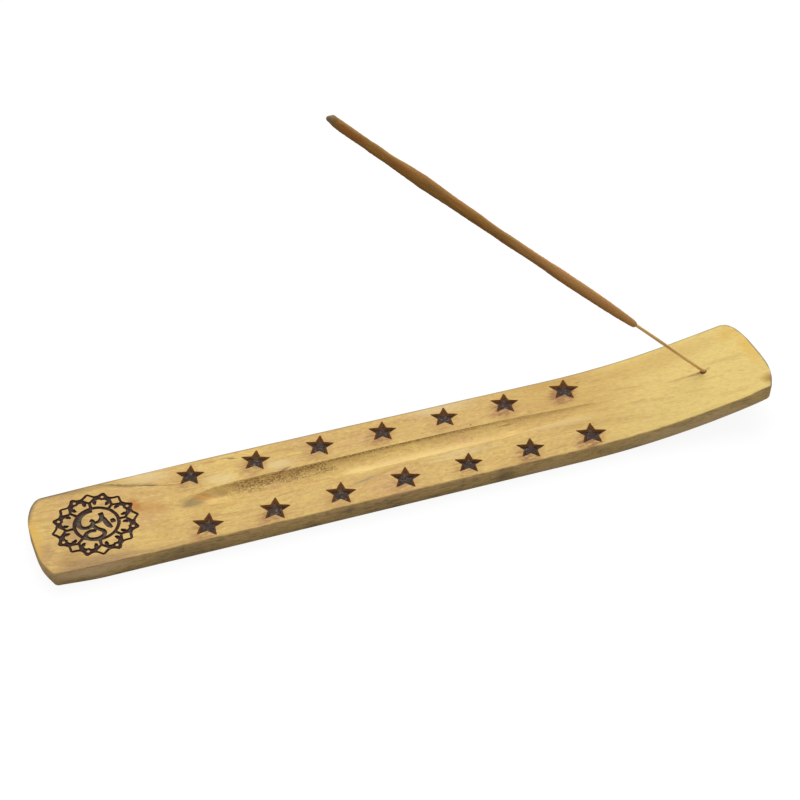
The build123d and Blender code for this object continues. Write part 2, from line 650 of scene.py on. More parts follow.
@dataclass
class BoardShape:
    """Side view of the board: the run of its faces and of its groove along X."""

    thickness: float = 6.0 * MM
    upturn_start: float = 54.0 * MM
    upturn_length: float = 73.4 * MM
    upturn_rise: float = 10.4 * MM
    tip_thickness: float = 5.5 * MM
    groove_depth: float = 1.6 * MM
    groove_head: float = -76.5 * MM
    groove_level: float = -56.5 * MM
    groove_climb: float = 4.5 * MM
    groove_exit: float = 59.5 * MM
    groove_rise: float = 1.1 * MM
    groove_flare: float = 4.5

    def _radius(self, rise: float) -> float:
        """Radius of an arc that starts flat at the upturn and reaches a rise at the tip."""
        return (self.upturn_length ** 2 + rise ** 2) / (2 * rise)

    def _arc(self, x: np.ndarray, rise: float) -> np.ndarray:
        """Height of that arc along the board."""
        radius, run = self._radius(rise), np.clip(x - self.upturn_start, 0, None)
        return radius - np.sqrt(radius ** 2 - run ** 2)

    def top_rise(self) -> float:
        """How far the upper face has climbed at the tip."""
        return self.upturn_rise + self.tip_thickness - self.thickness

    def under(self, x: np.ndarray) -> np.ndarray:
        """Height of the underside."""
        return self._arc(np.asarray(x, float), self.upturn_rise)

    def top(self, x: np.ndarray) -> np.ndarray:
        """Height of the upper face."""
        return self.thickness + self._arc(np.asarray(x, float), self.top_rise())

    def depth_below(self, x: Wire, z: Wire) -> Wire:
        """Depth below the upper face, in millimetres, as a shader value.

        Args:
            x: place along the board, in millimetres.
            z: height, in millimetres.

        Returns:
            The depth.
        """
        run = (x - self.upturn_start / MM).at_least(0.0)
        return self.thickness / MM + run * run * (MM / (2 * self._radius(self.top_rise()))) - z

    def groove(self, x: np.ndarray) -> np.ndarray:
        """Height of the groove's lowest line.

        Args:
            x: places along the board.

        Returns:
            The heights.
        """
        x = np.asarray(x, float)
        low = self.thickness - self.groove_depth
        into = np.clip(self.groove_level - x, 0, None) / (self.groove_level - self.groove_head)
        climb = np.clip((x - self.groove_climb) / (self.groove_exit - self.groove_climb), 0, 1)
        slope = 2 * self.groove_rise / (self.groove_exit - self.groove_climb)
        beyond = np.clip(x - self.groove_exit, 0, None)
        return (low + self.groove_depth * into ** 2 + self.groove_rise * climb ** 2
                + slope * beyond + self.groove_flare * beyond ** 2)


@dataclass(frozen=True)
class Corner:
    """One corner of the board's plan in millimetres, with the radius it is rounded to."""

    x: float
    y: float
    rounding: float
    steps: int = 8


@dataclass(frozen=True)
class TonePatch:
    """One soft patch of another tone on the wood, a stain or a painted shadow, in millimetres on the board's
    plan.
    """

    x: float
    y: float
    half_x: float
    half_y: float
    turn: float
    strength: float
    colour: Colour


@dataclass(frozen=True)
class HaloRow:
    """A row of evenly spaced scorched patches, in millimetres on the board's plan."""

    x: float
    y: float
    pitch: float
    strengths: tuple[float, ...]
    half_x: float = 7.6
    half_y: float = 6.0
    turn: float = math.radians(25)


THROUGH = 1e4  # length of a patch through the board, as good as endless

GREY = tone(106, 90, 62)
AMBER = tone(184, 116, 48)
HONEY = tone(186, 140, 66)
UMBER = tone(128, 92, 52)
SCORCH = tone(166, 120, 76)
SLATE = tone(138, 134, 124)
GOLD = tone(228, 182, 78)
PALE = tone(232, 210, 154)
SOOT = tone(98, 84, 72)
SAND = tone(228, 196, 150)
MAUVE = tone(132, 98, 82)

STAINS_AND_STICK_SHADOW: tuple[TonePatch, ...] = (
    TonePatch(-87.0, 15.4, 11.0, 4.0, -8, 0.5, PALE),
    TonePatch(-64.0, 7.0, 8.0, 3.4, -8, 0.5, PALE),
    TonePatch(-44.0, 7.6, 7.0, 3.0, -6, 0.5, PALE),
    TonePatch(60.0, 6.0, 32.0, 20.0, 0, 0.32, HONEY),
    TonePatch(16.0, 16.0, 17.0, 3.6, 0, 0.5, PALE),
    TonePatch(15.0, -6.6, 18.0, 3.2, 0, 0.35, PALE),
    TonePatch(52.0, -3.6, 20.0, 2.4, 0, 0.35, PALE),
    TonePatch(-69.0, -4.6, 11.0, 3.6, 0, 0.35, HONEY),
    TonePatch(-34.0, -3.0, 6.0, 1.8, 0, 0.3, HONEY),
    TonePatch(-123.5, -7.0, 4.0, 6.0, 0, 0.3, MAUVE),
    TonePatch(-113.5, 0.0, 6.5, 12.0, 0, 0.35, MAUVE),
    TonePatch(58.0, 16.5, 24.0, 4.0, 0, 0.35, HONEY),
    TonePatch(-110.0, -16.6, 20.0, 4.8, 0, 0.55, MAUVE),
    TonePatch(-88.0, -17.4, 26.0, 3.0, 0, 0.2, MAUVE),
    TonePatch(-108.0, 17.0, 14.0, 3.4, 3, 0.45, UMBER),
    TonePatch(-93.0, 13.6, 13.5, 1.1, -16, 0.45, GREY),
    TonePatch(-85.0, 10.9, 9.5, 0.45, -16, 0.85, GREY),
    TonePatch(-97.0, 15.0, 9.0, 0.5, -18, 0.5, GREY),
    TonePatch(-108.0, 17.4, 6.0, 0.6, 2, 0.4, AMBER),
    TonePatch(-58.7, 15.4, 4.8, 0.45, -12, 0.75, GREY),
    TonePatch(-65.5, 15.8, 3.2, 0.8, -6, 0.55, AMBER),
    TonePatch(-75.0, -0.5, 6.2, 3.3, -6, 0.62, GREY),
    TonePatch(-71.2, 1.2, 5.0, 2.0, -8, 0.65, AMBER),
    TonePatch(-66.0, 1.6, 5.0, 2.0, -4, 0.35, UMBER),
    TonePatch(-93.2, 4.4, 3.1, 4.8, 10, 0.75, AMBER),
    TonePatch(-88.5, 1.8, 8.5, 3.8, -16, 0.4, AMBER),
    TonePatch(-117.0, -12.0, 6.5, 5.5, 20, 0.35, UMBER),
    TonePatch(-42.8, 4.8, 2.9, 0.5, 17, 0.85, GREY),
    TonePatch(-20.0, -8.5, 4.8, 0.6, 6, 0.6, SLATE),
    TonePatch(-17.0, -7.6, 2.6, 0.4, 9, 0.5, SLATE),
    TonePatch(-14.0, 9.0, 2.8, 0.4, 4, 0.4, SLATE),
    TonePatch(-33.0, 16.0, 2.4, 0.4, 6, 0.45, SLATE),
    TonePatch(34.2, 2.2, 3.4, 0.5, 0, 0.6, UMBER),
    TonePatch(23.0, 5.4, 0.8, 0.4, 30, 0.85, GREY),
    TonePatch(66.0, 13.6, 1.6, 0.35, 0, 0.6, UMBER),
    TonePatch(80.0, 4.5, 9.0, 0.5, -12, 0.35, UMBER),
    TonePatch(72.0, 12.0, 4.0, 0.4, -6, 0.4, UMBER),
    TonePatch(80.0, -3.0, 6.0, 0.5, -8, 0.3, UMBER),
    TonePatch(88.0, -5.0, 3.0, 1.0, -9, 0.25, HONEY),
    TonePatch(98.5, 0.6, 8.0, 0.9, -4, 0.3, UMBER),
    TonePatch(124.9, -14.4, 2.0, 2.6, 10, 0.6, UMBER),
    TonePatch(124.2, -13.8, 3.0, 3.4, 10, 0.7, HONEY),
    TonePatch(125.0, 2.0, 3.0, 13.0, 0, 0.5, GOLD),
    TonePatch(122.0, 12.5, 7.0, 4.5, 30, 0.4, GOLD),
    TonePatch(96.0, 12.5, 32.0, 7.0, 0, 0.3, HONEY),
    TonePatch(-126.0, 0.0, 3.4, 14.0, 0, 0.5, GOLD),
    # painted shadow: the next two dark patches, left of the hole, stand for the stick's shadow at its foot
    TonePatch(104.0, 0.1, 4.6, 1.1, 0, 0.55, UMBER),
    TonePatch(105.9, 0.2, 1.7, 0.9, 0, 0.75, GREY),
    TonePatch(108.9, 0.5, 1.1, 0.9, 30, 0.55, AMBER),
)
SIDE_MARKS: tuple[TonePatch, ...] = (
    TonePatch(-112.0, 1.8, 18.0, 3.4, 0, 0.6, SAND),
    TonePatch(94.0, 4.2, 38.0, 4.6, 0, 0.45, SAND),
    TonePatch(42.0, 5.0, 16.0, 3.2, 0, 0.3, SAND),
    TonePatch(-83.0, 3.4, 12.0, 4.8, 0, 0.42, SOOT),
    TonePatch(-40.0, 4.8, 5.0, 2.4, 0, 0.42, SOOT),
    TonePatch(-28.0, 0.9, 4.0, 1.7, 0, 0.36, SOOT),
    TonePatch(-13.0, 4.2, 9.0, 3.0, 0, 0.25, SOOT),
    TonePatch(26.0, 3.0, 4.6, 5.0, 0, 0.42, SOOT),
    TonePatch(62.0, 3.0, 4.0, 1.8, 0, 0.25, SOOT),
)
STAR_SIZES = (
    (1.03, 1.025, 1.02, 1.01, 0.96, 0.975, 1.04),
    (0.95, 0.965, 0.975, 0.97, 0.955, 0.985, 1.03),
)
HALO_STRENGTHS = (
    (0.9, 0.75, 0.44, 0.55, 0.6, 0.95, 1.25),
    (0.55, 0.75, 0.62, 0.9, 0.46, 1.1, 1.6),
)


class BoardSpot:
    """Shader values, lengths in millimetres, that several layers of the board's finish share."""

    def __init__(self, tree: FinishTree, shape: BoardShape) -> None:
        """Read the place on the board and the slope of its surface.

        Args:
            tree: the node tree.
            shape: side view of the board, for depths below its upper face.
        """
        self.tree = tree
        self.shape = shape
        self.place = tree.place()
        self.x, self.y, self.z = tree.split(self.place)
        _, self.aside, self.up = tree.split(tree.out(tree.node("ShaderNodeNewGeometry"), "Normal"))

    @cached_property
    def drift(self) -> Wire:
        """Slow noise that bends the grain."""
        return self.tree.grain(self.place, (38, 16, 16), 3.0, 1.0)

    @cached_property
    def fibre(self) -> Wire:
        """Place in a frame that follows the slanting grain.

        Returns:
            The place.
        """
        run = self.x + 15.0
        across = self.y + run * run * run * 6.7e-6 - self.x * 0.05 + self.drift * 5.0
        return self.tree.join(self.x, across, self.z + self.drift * 3.0)

    @cached_property
    def bands(self) -> Wire:
        """Noise of the year bands."""
        return self.tree.grain(self.fibre, (90, 1.5, 1.7), 7.0, 3.0)

    @cached_property
    def fine(self) -> Wire:
        """Noise of the fine fibres."""
        return self.tree.grain(self.fibre, (16, 0.6, 0.6), 11.0, 4.0, 0.65)

    @cached_property
    def pores(self) -> Wire:
        """Noise of the short pores."""
        return self.tree.grain(self.fibre, (2.2, 0.3, 0.3), 5.0, 2.0)

    @cached_property
    def mottle(self) -> Wire:
        """Noise of small patches across the grain."""
        return self.tree.grain(self.place, (2.4, 1.5, 2.0), 17.0, 3.0, 0.62)

    @cached_property
    def wander(self) -> Wire:
        """How far an outline strays, round 0."""
        return self.tree.grain(self.place, (4.5, 1.6, 4.0), 31.0, 2.0) - 0.5

    @cached_property
    def ragged(self) -> Wire:
        """Strength that breaks patches up along the grain."""
        return 0.55 + self.tree.grain(self.fibre, (5.0, 0.5, 0.6), 41.0, 3.0) * 0.9

    @cached_property
    def moved(self) -> Wire:
        """Place with straying outlines, for patches on the upper face."""
        return self.tree.join(self.x + self.wander * 3.0, self.y + self.wander * 0.9, self.z)

    @cached_property
    def depth(self) -> Wire:
        """Depth below the upper face."""
        return self.shape.depth_below(self.x, self.z)

    @cached_property
    def channel(self) -> Wire:
        """Where the plan of the groove lies."""
        return abs(self.y).step(5.3, 4.8) * self.x.step(72.0, 62.0)

    @cached_property
    def scooped(self) -> Wire:
        """Where the surface is the scooped floor of the groove."""
        return self.depth.step(0.12, 0.4) * self.channel * self.up.step(0.3, 0.6)

    @cached_property
    def dots(self) -> Wire:
        """Noise of the dots that a blunt gouge leaves."""
        return self.tree.grain(self.place, (0.62, 0.36, 0.42), 2.0, 2.0, 0.6)

    @cached_property
    def gouged(self) -> Wire:
        """Strength of the gouge marks at the groove's head end, which stop abruptly.

        Returns:
            The strength, between 0 and 1.
        """
        end = self.x.step(-72.0, -56.0) * (self.x + self.y * 0.8).step(-23.5, -27.0)
        swarm = self.tree.grain(self.place, (7, 2.0, 3), 8.0).step(0.36, 0.52)
        return self.scooped * end * (self.dots.step(0.48, 0.57) * (0.3 + swarm * 0.7))

    @cached_property
    def edge(self) -> Wire:
        """Where the surface is a side of the board."""
        return abs(self.up).step(0.78, 0.4)


@dataclass(frozen=True)
class BoardWood:
    """Pale yellow-tan sanded wood with slanting grain, old stains, a grubby edge, and painted light, shade
    and shadow.
    """

    name: str = "board_wood"
    # patches on the upper face: old stains, and the painted shadow of the stick at its foot
    stains: tuple[TonePatch, ...] = ()
    marks: tuple[TonePatch, ...] = ()
    head: Colour = tone(214, 178, 106)
    tip: Colour = tone(230, 203, 122)
    pink: Colour = tone(212, 166, 114)
    straw: Colour = tone(236, 204, 118)
    # grain lines, and painted shade on the groove's far wall
    line: Colour = tone(172, 130, 68)
    # pale flecks in the grain, and painted light on the groove's near wall
    pale: Colour = tone(242, 214, 144)
    side: Colour = tone(198, 166, 108)
    brow: Colour = tone(222, 186, 126)
    dirt: Colour = tone(104, 88, 72)
    chatter: Colour = tone(98, 66, 34)
    # painted shade along the far rim
    rim: Colour = tone(116, 108, 94)
    relief: float = 0.09 * MM
    sheen: float = 0.18

    def _grain_coats(self, spot: BoardSpot) -> Iterator[Coat]:
        """Coats of the bare wood: clouds, bands, mottles, fibres, dashes, pores and flecks.

        Args:
            spot: the shared shader values.

        Returns:
            The coats, the lowest first.
        """
        tree, x = spot.tree, spot.x
        cloud = tree.grain(spot.place, (26, 13, 13), 21.0, 3.0)
        yield self.pink, cloud.step(0.5, 0.72) * x.step(70.0, 20.0) * 0.75
        yield self.straw, cloud.step(0.5, 0.3) * 0.6
        yield self.line, tree.grain(spot.fibre, (60, 5.0, 5.0), 1.0, 2.0).step(0.5, 0.74) * 0.28
        yield self.line, spot.bands.step(0.56, 0.78) * 0.22
        yield self.straw, spot.bands.step(0.45, 0.25) * 0.35
        yield self.pink, spot.mottle.step(0.5, 0.7) * (x.step(90.0, 40.0) * 0.4 + 0.2)
        yield self.straw, spot.mottle.step(0.47, 0.3) * 0.45
        yield self.line, spot.fine.step(0.5, 0.7) * (0.22 + x.step(80.0, 30.0) * 0.1)
        yield self.straw, spot.fine.step(0.48, 0.3) * 0.35
        dash = tree.grain(spot.fibre, (5.5, 0.45, 0.5), 27.0, 2.0)
        yield self.line, dash.step(0.64, 0.74) * (0.05 + x.step(70.0, 20.0) * 0.35)
        yield self.line, spot.pores.step(0.6, 0.74) * (0.1 + x.step(80.0, 30.0) * 0.2)
        fleck = tree.grain(spot.fibre, (1.7, 0.75, 0.9), 37.0, 2.0)
        yield self.line, fleck.step(0.52, 0.72) * (0.2 + x.step(90.0, 40.0) * 0.16)
        yield self.pale, fleck.step(0.46, 0.28) * 0.3

    @staticmethod
    def _patches(tree: FinishTree, place: Wire, ragged: Wire, stains: Iterable[TonePatch]) -> Iterator[Coat]:
        """Coats of soft patches.

        Args:
            tree: the node tree.
            place: where the patches are read, in millimetres.
            ragged: strength that breaks the patches up.
            stains: the patches.

        Returns:
            The coats, the lowest first.
        """
        for stain in stains:
            inner = tree.within(place, (stain.x, stain.y, 0), (0, 0, math.radians(stain.turn)),
                                (stain.half_x, stain.half_y, THROUGH))
            yield stain.colour, tree.length(inner).step(1.0, 0.2) * ragged * stain.strength

    def _stain_and_shadow_coats(self, spot: BoardSpot) -> Iterator[Coat]:
        """Coats of the old stains on the upper face, and of the painted shadow of the stick at its foot."""
        yield from self._patches(spot.tree, spot.moved, spot.ragged, self.stains)

    @staticmethod
    def _halo_coats(spot: BoardSpot, rows: Iterable[HaloRow]) -> Iterator[Coat]:
        """Coats of the scorched patches round the stars.

        Args:
            spot: the shared shader values.
            rows: the rows of patches.

        Returns:
            The coats, one for each row.
        """
        tree = spot.tree
        charred = 0.2 + tree.grain(spot.fibre, (2.6, 0.8, 0.8), 45.0, 4.0, 0.7).step(0.36, 0.62) * 1.05
        x, y, _ = tree.split(spot.moved)
        for row in rows:
            along = (x - row.x) / row.pitch + 0.5
            cell = tree.math("FLOOR", along)
            inner = tree.within(tree.join((along - cell - 0.5) * row.pitch, y - row.y, 0.0),
                                (0, 0, 0), (0, 0, row.turn), (row.half_x, row.half_y, 1))
            levels = (0.0, *row.strengths, 0.0)
            stops = [(number / len(levels), (level, level, level, 1)) for number, level in enumerate(levels)]
            ramp = tree.node("ShaderNodeValToRGB", {"stops": stops, "stop_blend": "CONSTANT"},
                             {"Fac": (cell + 1.5) / len(levels)})
            yield SCORCH, tree.length(inner).step(1.0, 0.2) * tree.out(ramp, "Color") * charred

    def _groove_coats(self, spot: BoardSpot) -> Iterator[Coat]:
        """Coats of the groove: painted shade on its far wall, gouge marks, painted light on its near wall
        and a dark line under the far lip.

        Args:
            spot: the shared shader values.

        Returns:
            The coats, the lowest first.
        """
        x, y = spot.x, spot.y
        climb = y - x.step(-48.0, -22.0) * 1.3
        # painted shade: the far wall of the groove is darkened with the grain-line colour
        shade = spot.scooped * x.step(-77.0, -62.0) * x.step(0.0, -26.0)
        yield self.line, shade * climb.step(0.8, 2.8) * 0.5
        yield self.chatter, spot.gouged * climb.step(-1.6, 1.2) * 0.66
        specks = spot.dots.step(0.5, 0.6) * spot.scooped * y.step(1.2, 3.0) * x.step(-34.0, -24.0)
        yield self.chatter, specks * 0.2
        # painted light: the near wall of the groove is made paler
        lit_near_wall = spot.scooped * x.step(-30.0, -18.0) * x.step(46.0, 6.0) * y.step(0.8, -2.2)
        yield self.pale, lit_near_wall * (0.2 + spot.mottle * 0.6)
        # a dark line on the far wall just under the lip, broken up by the gouge dots; the factor worn only
        # sets its strength along the groove
        brink = spot.aside.step(-0.2, -0.36) * spot.depth.step(0.7, 0.15) * spot.channel
        worn = x.step(-77.0, -68.0) * (0.25 + x.step(-40.0, -24.0) * x.step(40.0, 0.0) * 0.4)
        yield self.chatter, brink * worn * (0.4 + spot.dots.step(0.4, 0.62) * 0.9)

    @staticmethod
    def _inset(spot: BoardSpot, corners: Sequence[Corner]) -> Wire:
        """Distance from the edge of the board's plan.

        Args:
            spot: the shared shader values.
            corners: corners of the plan, anticlockwise.

        Returns:
            The distance in millimetres, 0 at the edge.
        """
        nearest = None
        for here, there in zip(corners, [*corners[1:], corners[0]]):
            way = Vector((there.x - here.x, there.y - here.y)).normalized()
            gap = spot.tree.dot(spot.place, (-way.y, way.x, 0)) + (way.y * here.x - way.x * here.y)
            nearest = gap if nearest is None else nearest.at_most(gap)
        return nearest

    def _rim_coats(self, spot: BoardSpot, corners: Sequence[Corner]) -> Iterator[Coat]:
        """Coats of the rims: painted shade along the far rim, a chipped near rim and a grubby rim at the
        head.

        Args:
            spot: the shared shader values.
            corners: corners of the plan, anticlockwise.

        Returns:
            The coats, the lowest first.
        """
        x, y, inset = spot.x, spot.y, self._inset(spot, corners)
        flat = spot.up.step(0.4, 0.8)
        # painted shade: a grey line along the rounding of the far rim and of the tip's end
        far_rim = y.step(6.0, 12.0).at_least(x.step(116.0, 121.0))
        yield self.rim, inset.step(0.95, 0.25) * flat * far_rim * 0.68
        chipped = spot.tree.grain(spot.place, (8, 20, 20), 83.0, 3.0, 0.6).step(0.46, 0.6)
        near_rim = inset.step(0.6, 0.1) * flat * y.step(-12.0, -15.0)
        yield self.chatter, near_rim * (0.15 + chipped * 0.45)
        head_rim = x.step(-106.0, -115.0) * y.step(4.0, 11.0)
        yield self.dirt, inset.step(1.9, 0.2) * flat * head_rim * spot.ragged * 0.65

    def _side_coats(self, spot: BoardSpot) -> Iterator[Coat]:
        """Coats of the sawn sides: darker wood, streaks, mottles, grime, darker towards the bottom, and
        smudges.

        Args:
            spot: the shared shader values.

        Returns:
            The coats, the lowest first.
        """
        tree, edge, depth = spot.tree, spot.edge, spot.depth
        yield self.side, edge * 0.7
        yield self.brow, edge * depth.step(2.6, 0.3) * 0.45
        streak = tree.grain(spot.place, (3.4, 3.4, 0.45), 71.0, 4.0, 0.7)
        yield self.dirt, edge * streak.step(0.5, 0.66) * 0.68
        yield self.brow, edge * streak.step(0.47, 0.3) * 0.55
        yield self.pink, edge * spot.mottle.step(0.48, 0.66) * 0.42
        yield self.dirt, edge * spot.mottle.step(0.47, 0.34) * 0.3
        grime = tree.grain(spot.place, (16, 6, 2.4), 51.0, 4.0, 0.62).step(0.42, 0.68)
        grime = grime * (0.35 + tree.grain(spot.place, (30, 30, 30), 61.0, 1.0).step(0.4, 0.6) * 0.65)
        # darker towards the bottom of the side, on the head half of the board
        foot = depth.step(3.0, 6.0) * spot.x.step(20.0, 0.0)
        yield self.dirt, edge * (grime * 0.42 + foot * 0.16)
        smudged = tree.join(spot.x + spot.wander * 6.0, depth + spot.wander * 3.0, 0.0)
        yield from self._patches(tree, smudged, spot.ragged * edge, self.marks)

    def make(self, shape: BoardShape, corners: Sequence[Corner],
             halos: Iterable[HaloRow] = ()) -> bpy.types.Material:
        """Build the finish.

        Args:
            shape: side view of the board, for depths below its upper face.
            corners: corners of the plan, for the rim.
            halos: scorched patches round the stars.

        Returns:
            The material.
        """
        tree = FinishTree(bpy.data.materials.new(self.name))
        spot = BoardSpot(tree, shape)
        bare = tree.mix(self.head, self.tip, (spot.x + spot.drift * 20.0).step(40.0, 128.0))
        colour = tree.layer(
            bare, self._grain_coats(spot), self._stain_and_shadow_coats(spot), self._halo_coats(spot, halos),
            self._groove_coats(spot), self._rim_coats(spot, corners), self._side_coats(spot))
        height = spot.fine * 0.42 + spot.bands * 0.15 - spot.pores.step(0.6, 0.78) * 0.25 - spot.gouged
        gloss = 0.62 + (spot.fine - 0.5) * 0.25 + spot.edge * 0.2
        tree.dull(colour, gloss, height, self.relief, self.sheen)
        return tree.owner


@dataclass(frozen=True)
class BurntWood:
    """Wood burnt with a hot stamp: brown at the lip, darker on the walls, ashy on the floor, painted light
    on stars' upper arms.
    """

    name: str = "burnt_star"
    lip: Colour = tone(150, 104, 52)
    red: Colour = tone(130, 83, 33)
    wall: Colour = tone(94, 60, 27)
    floor: Colour = tone(64, 52, 46)
    ash: Colour = tone(150, 142, 136)
    purple: Colour = tone(82, 60, 54)
    char: Colour = tone(40, 30, 28)
    lip_depth: float = 0.17
    floor_depth: tuple[float, float] = (0.68, 0.92)
    floor_share: float = 0.9
    ash_share: float = 0.5
    row: float = 0.0
    relief: float = 0.14 * MM
    sheen: float = 0.25

    def _coats(self, tree: FinishTree, y: Wire, depth: Wire, cloud: Wire, crumb: Wire) -> Iterator[Coat]:
        """Coats over the walls: purple hollows, red-brown flanks, lip, floor, painted light on the upper
        arm, ash and char.

        Args:
            tree: the node tree.
            y: place across the board, in millimetres.
            depth: depth below the upper face, in millimetres.
            cloud: noise of the larger patches.
            crumb: noise of the crumbs.

        Returns:
            The coats, the lowest first.
        """
        low, high = self.floor_depth
        uneven = depth + (cloud - 0.5) * 0.4
        browned = crumb.step(0.66, 0.42)
        yield self.purple, cloud.step(0.5, 0.7) * depth.step(low * 0.5, low) * 0.7
        yield self.red, uneven.step(high * 0.85, low * 0.35) * browned * 0.85
        yield self.lip, (depth + (crumb - 0.5) * 0.25).step(self.lip_depth, 0.0) * 0.85
        yield self.floor, depth.step(low, high) * self.floor_share
        if self.row:
            # painted light: the arm that points to the far side is browned lighter, as if lit
            lit_upper_arm = (y - tree.math("SIGN", y) * self.row).step(1.0, 3.0)
            yield self.red, lit_upper_arm * browned * 0.7
        yield self.ash, crumb.step(0.55, 0.66) * depth.step(low * 0.5, high) * self.ash_share
        yield self.char, crumb.step(0.49, 0.37) * depth.step(0.15, 0.55) * 0.75

    def make(self, shape: BoardShape) -> bpy.types.Material:
        """Build the finish.

        Args:
            shape: side view of the board, for depths below its upper face.

        Returns:
            The material.
        """
        tree = FinishTree(bpy.data.materials.new(self.name))
        place = tree.place()
        x, y, z = tree.split(place)
        cloud = tree.grain(place, (1.9, 1.6, 1.0), 4.0, 3.0)
        crumb = tree.grain(place, (1.0, 0.8, 0.7), 9.0, 3.0, 0.7)
        colour = tree.layer(self.wall, self._coats(tree, y, shape.depth_below(x, z), cloud, crumb))
        tree.dull(colour, 0.82 + (crumb - 0.5) * 0.2, crumb + cloud * 0.5, self.relief, self.sheen)
        return tree.owner


DRILLED = BurntWood(
    name="drilled_wood", lip=tone(176, 132, 70), red=tone(150, 104, 52), wall=tone(150, 106, 56),
    floor=tone(124, 88, 48), ash=tone(140, 104, 60), purple=tone(130, 92, 50), char=tone(110, 76, 40))
BURNT_LINE = BurntWood(
    name="burnt_line", lip=tone(120, 76, 44), red=tone(78, 44, 30), wall=tone(56, 34, 28),
    floor=tone(102, 90, 76), ash=tone(122, 112, 104), purple=tone(58, 36, 36), char=tone(50, 32, 28),
    lip_depth=0.1, floor_depth=(0.46, 0.56), floor_share=0.75, ash_share=0.45)


@dataclass(frozen=True)
class Bamboo:
    """Bare split bamboo with lengthwise fibres, and painted shade where it goes into the hole."""

    pale: Colour = tone(238, 200, 132)
    deep: Colour = tone(204, 154, 84)
    dark: Colour = tone(150, 104, 56)
    relief: float = 0.06 * MM
    sheen: float = 0.35

    def make(self, middle: Vector, turn: float) -> bpy.types.Material:
        """Build the finish.

        Args:
            middle: where the stick leaves the board.
            turn: lean of the stick about Y.

        Returns:
            The material.
        """
        tree = FinishTree(bpy.data.materials.new("bamboo"))
        local = tree.within(tree.place(), middle / MM, (0, turn, 0), (1, 1, 1))
        _, _, along = tree.split(local)
        fibre = tree.grain(local, (0.16, 0.16, 16), 2.0, 3.0, 0.6)
        band = tree.grain(local, (0.7, 0.7, 30), 6.0, 2.0)
        colour = tree.layer(self.pale, (
            (self.deep, fibre.step(0.4, 0.68)),
            (self.dark, band.step(0.55, 0.8) * 0.45),
            # painted shade: the splint darkens where it goes into the hole
            (self.dark, along.step(2.5, -0.5) * 0.6)))
        tree.dull(colour, 0.55 + fibre * 0.2, fibre, self.relief, self.sheen)
        return tree.owner


@dataclass(frozen=True)
class IncensePaste:
    """Brown powder paste rolled round the splint: rough, streaked along the roll, grey at its end, painted
    light above and painted shade below.
    """

    body: Colour = tone(178, 126, 60)
    dark: Colour = tone(122, 80, 36)
    gold: Colour = tone(212, 148, 58)
    rust: Colour = tone(180, 108, 48)
    olive: Colour = tone(150, 116, 56)
    # painted shade on the roll's underside
    underside_shade: Colour = tone(94, 64, 40)
    tan: Colour = tone(222, 164, 100)
    # powder specks, and painted light on the roll's upper side
    dust_and_top_light: Colour = tone(200, 160, 104)
    cinder: Colour = tone(136, 116, 86)
    roughness: float = 0.88
    relief: float = 0.12 * MM
    sheen: float = 0.2

    def make(self, middle: Vector, turn: float) -> bpy.types.Material:
        """Build the finish.

        Args:
            middle: where the stick leaves the board.
            turn: lean of the stick about Y.

        Returns:
            The material.
        """
        tree = FinishTree(bpy.data.materials.new("incense_paste"))
        local = tree.within(tree.place(), middle / MM, (0, turn, 0), (1, 1, 1))
        upper, _, along = tree.split(local)
        streak = tree.grain(local, (0.9, 0.9, 9), 3.0, 3.0, 0.6)
        patch = tree.grain(local, (2.4, 2.4, 12), 13.0, 2.0)
        powder = tree.grain(local, (0.2, 0.2, 0.26), 5.0, 3.0, 0.7)
        colour = tree.layer(self.body, (
            (self.dark, streak.step(0.5, 0.74) * 0.8),
            (self.gold, streak.step(0.47, 0.28) * 0.7),
            (self.rust, patch.step(0.5, 0.66) * 0.75),
            (self.olive, patch.step(0.47, 0.33) * 0.5),
            (self.dark, powder.step(0.52, 0.75) * 0.6),
            (self.dust_and_top_light, powder.step(0.44, 0.26) * 0.35),
            # lighter paste towards the foot, a tone of its own, and stronger on the upper side as painted
            # light
            (self.tan, along.step(125.0, 85.0) * (0.3 + upper.step(-1.0, 1.0) * 0.3)),
            # painted light: the upper side of the roll is lighter
            (self.dust_and_top_light, upper.step(0.3, 1.7) * 0.3),
            # painted shade: the underside of the roll is darker
            (self.underside_shade, upper.step(0.5, -1.4) * 0.45),
            (self.cinder, (along + patch * 2.0).step(184.6, 187.2) * 0.8)))
        tree.dull(colour, self.roughness, powder + streak * 0.5, self.relief, self.sheen)
        return tree.owner


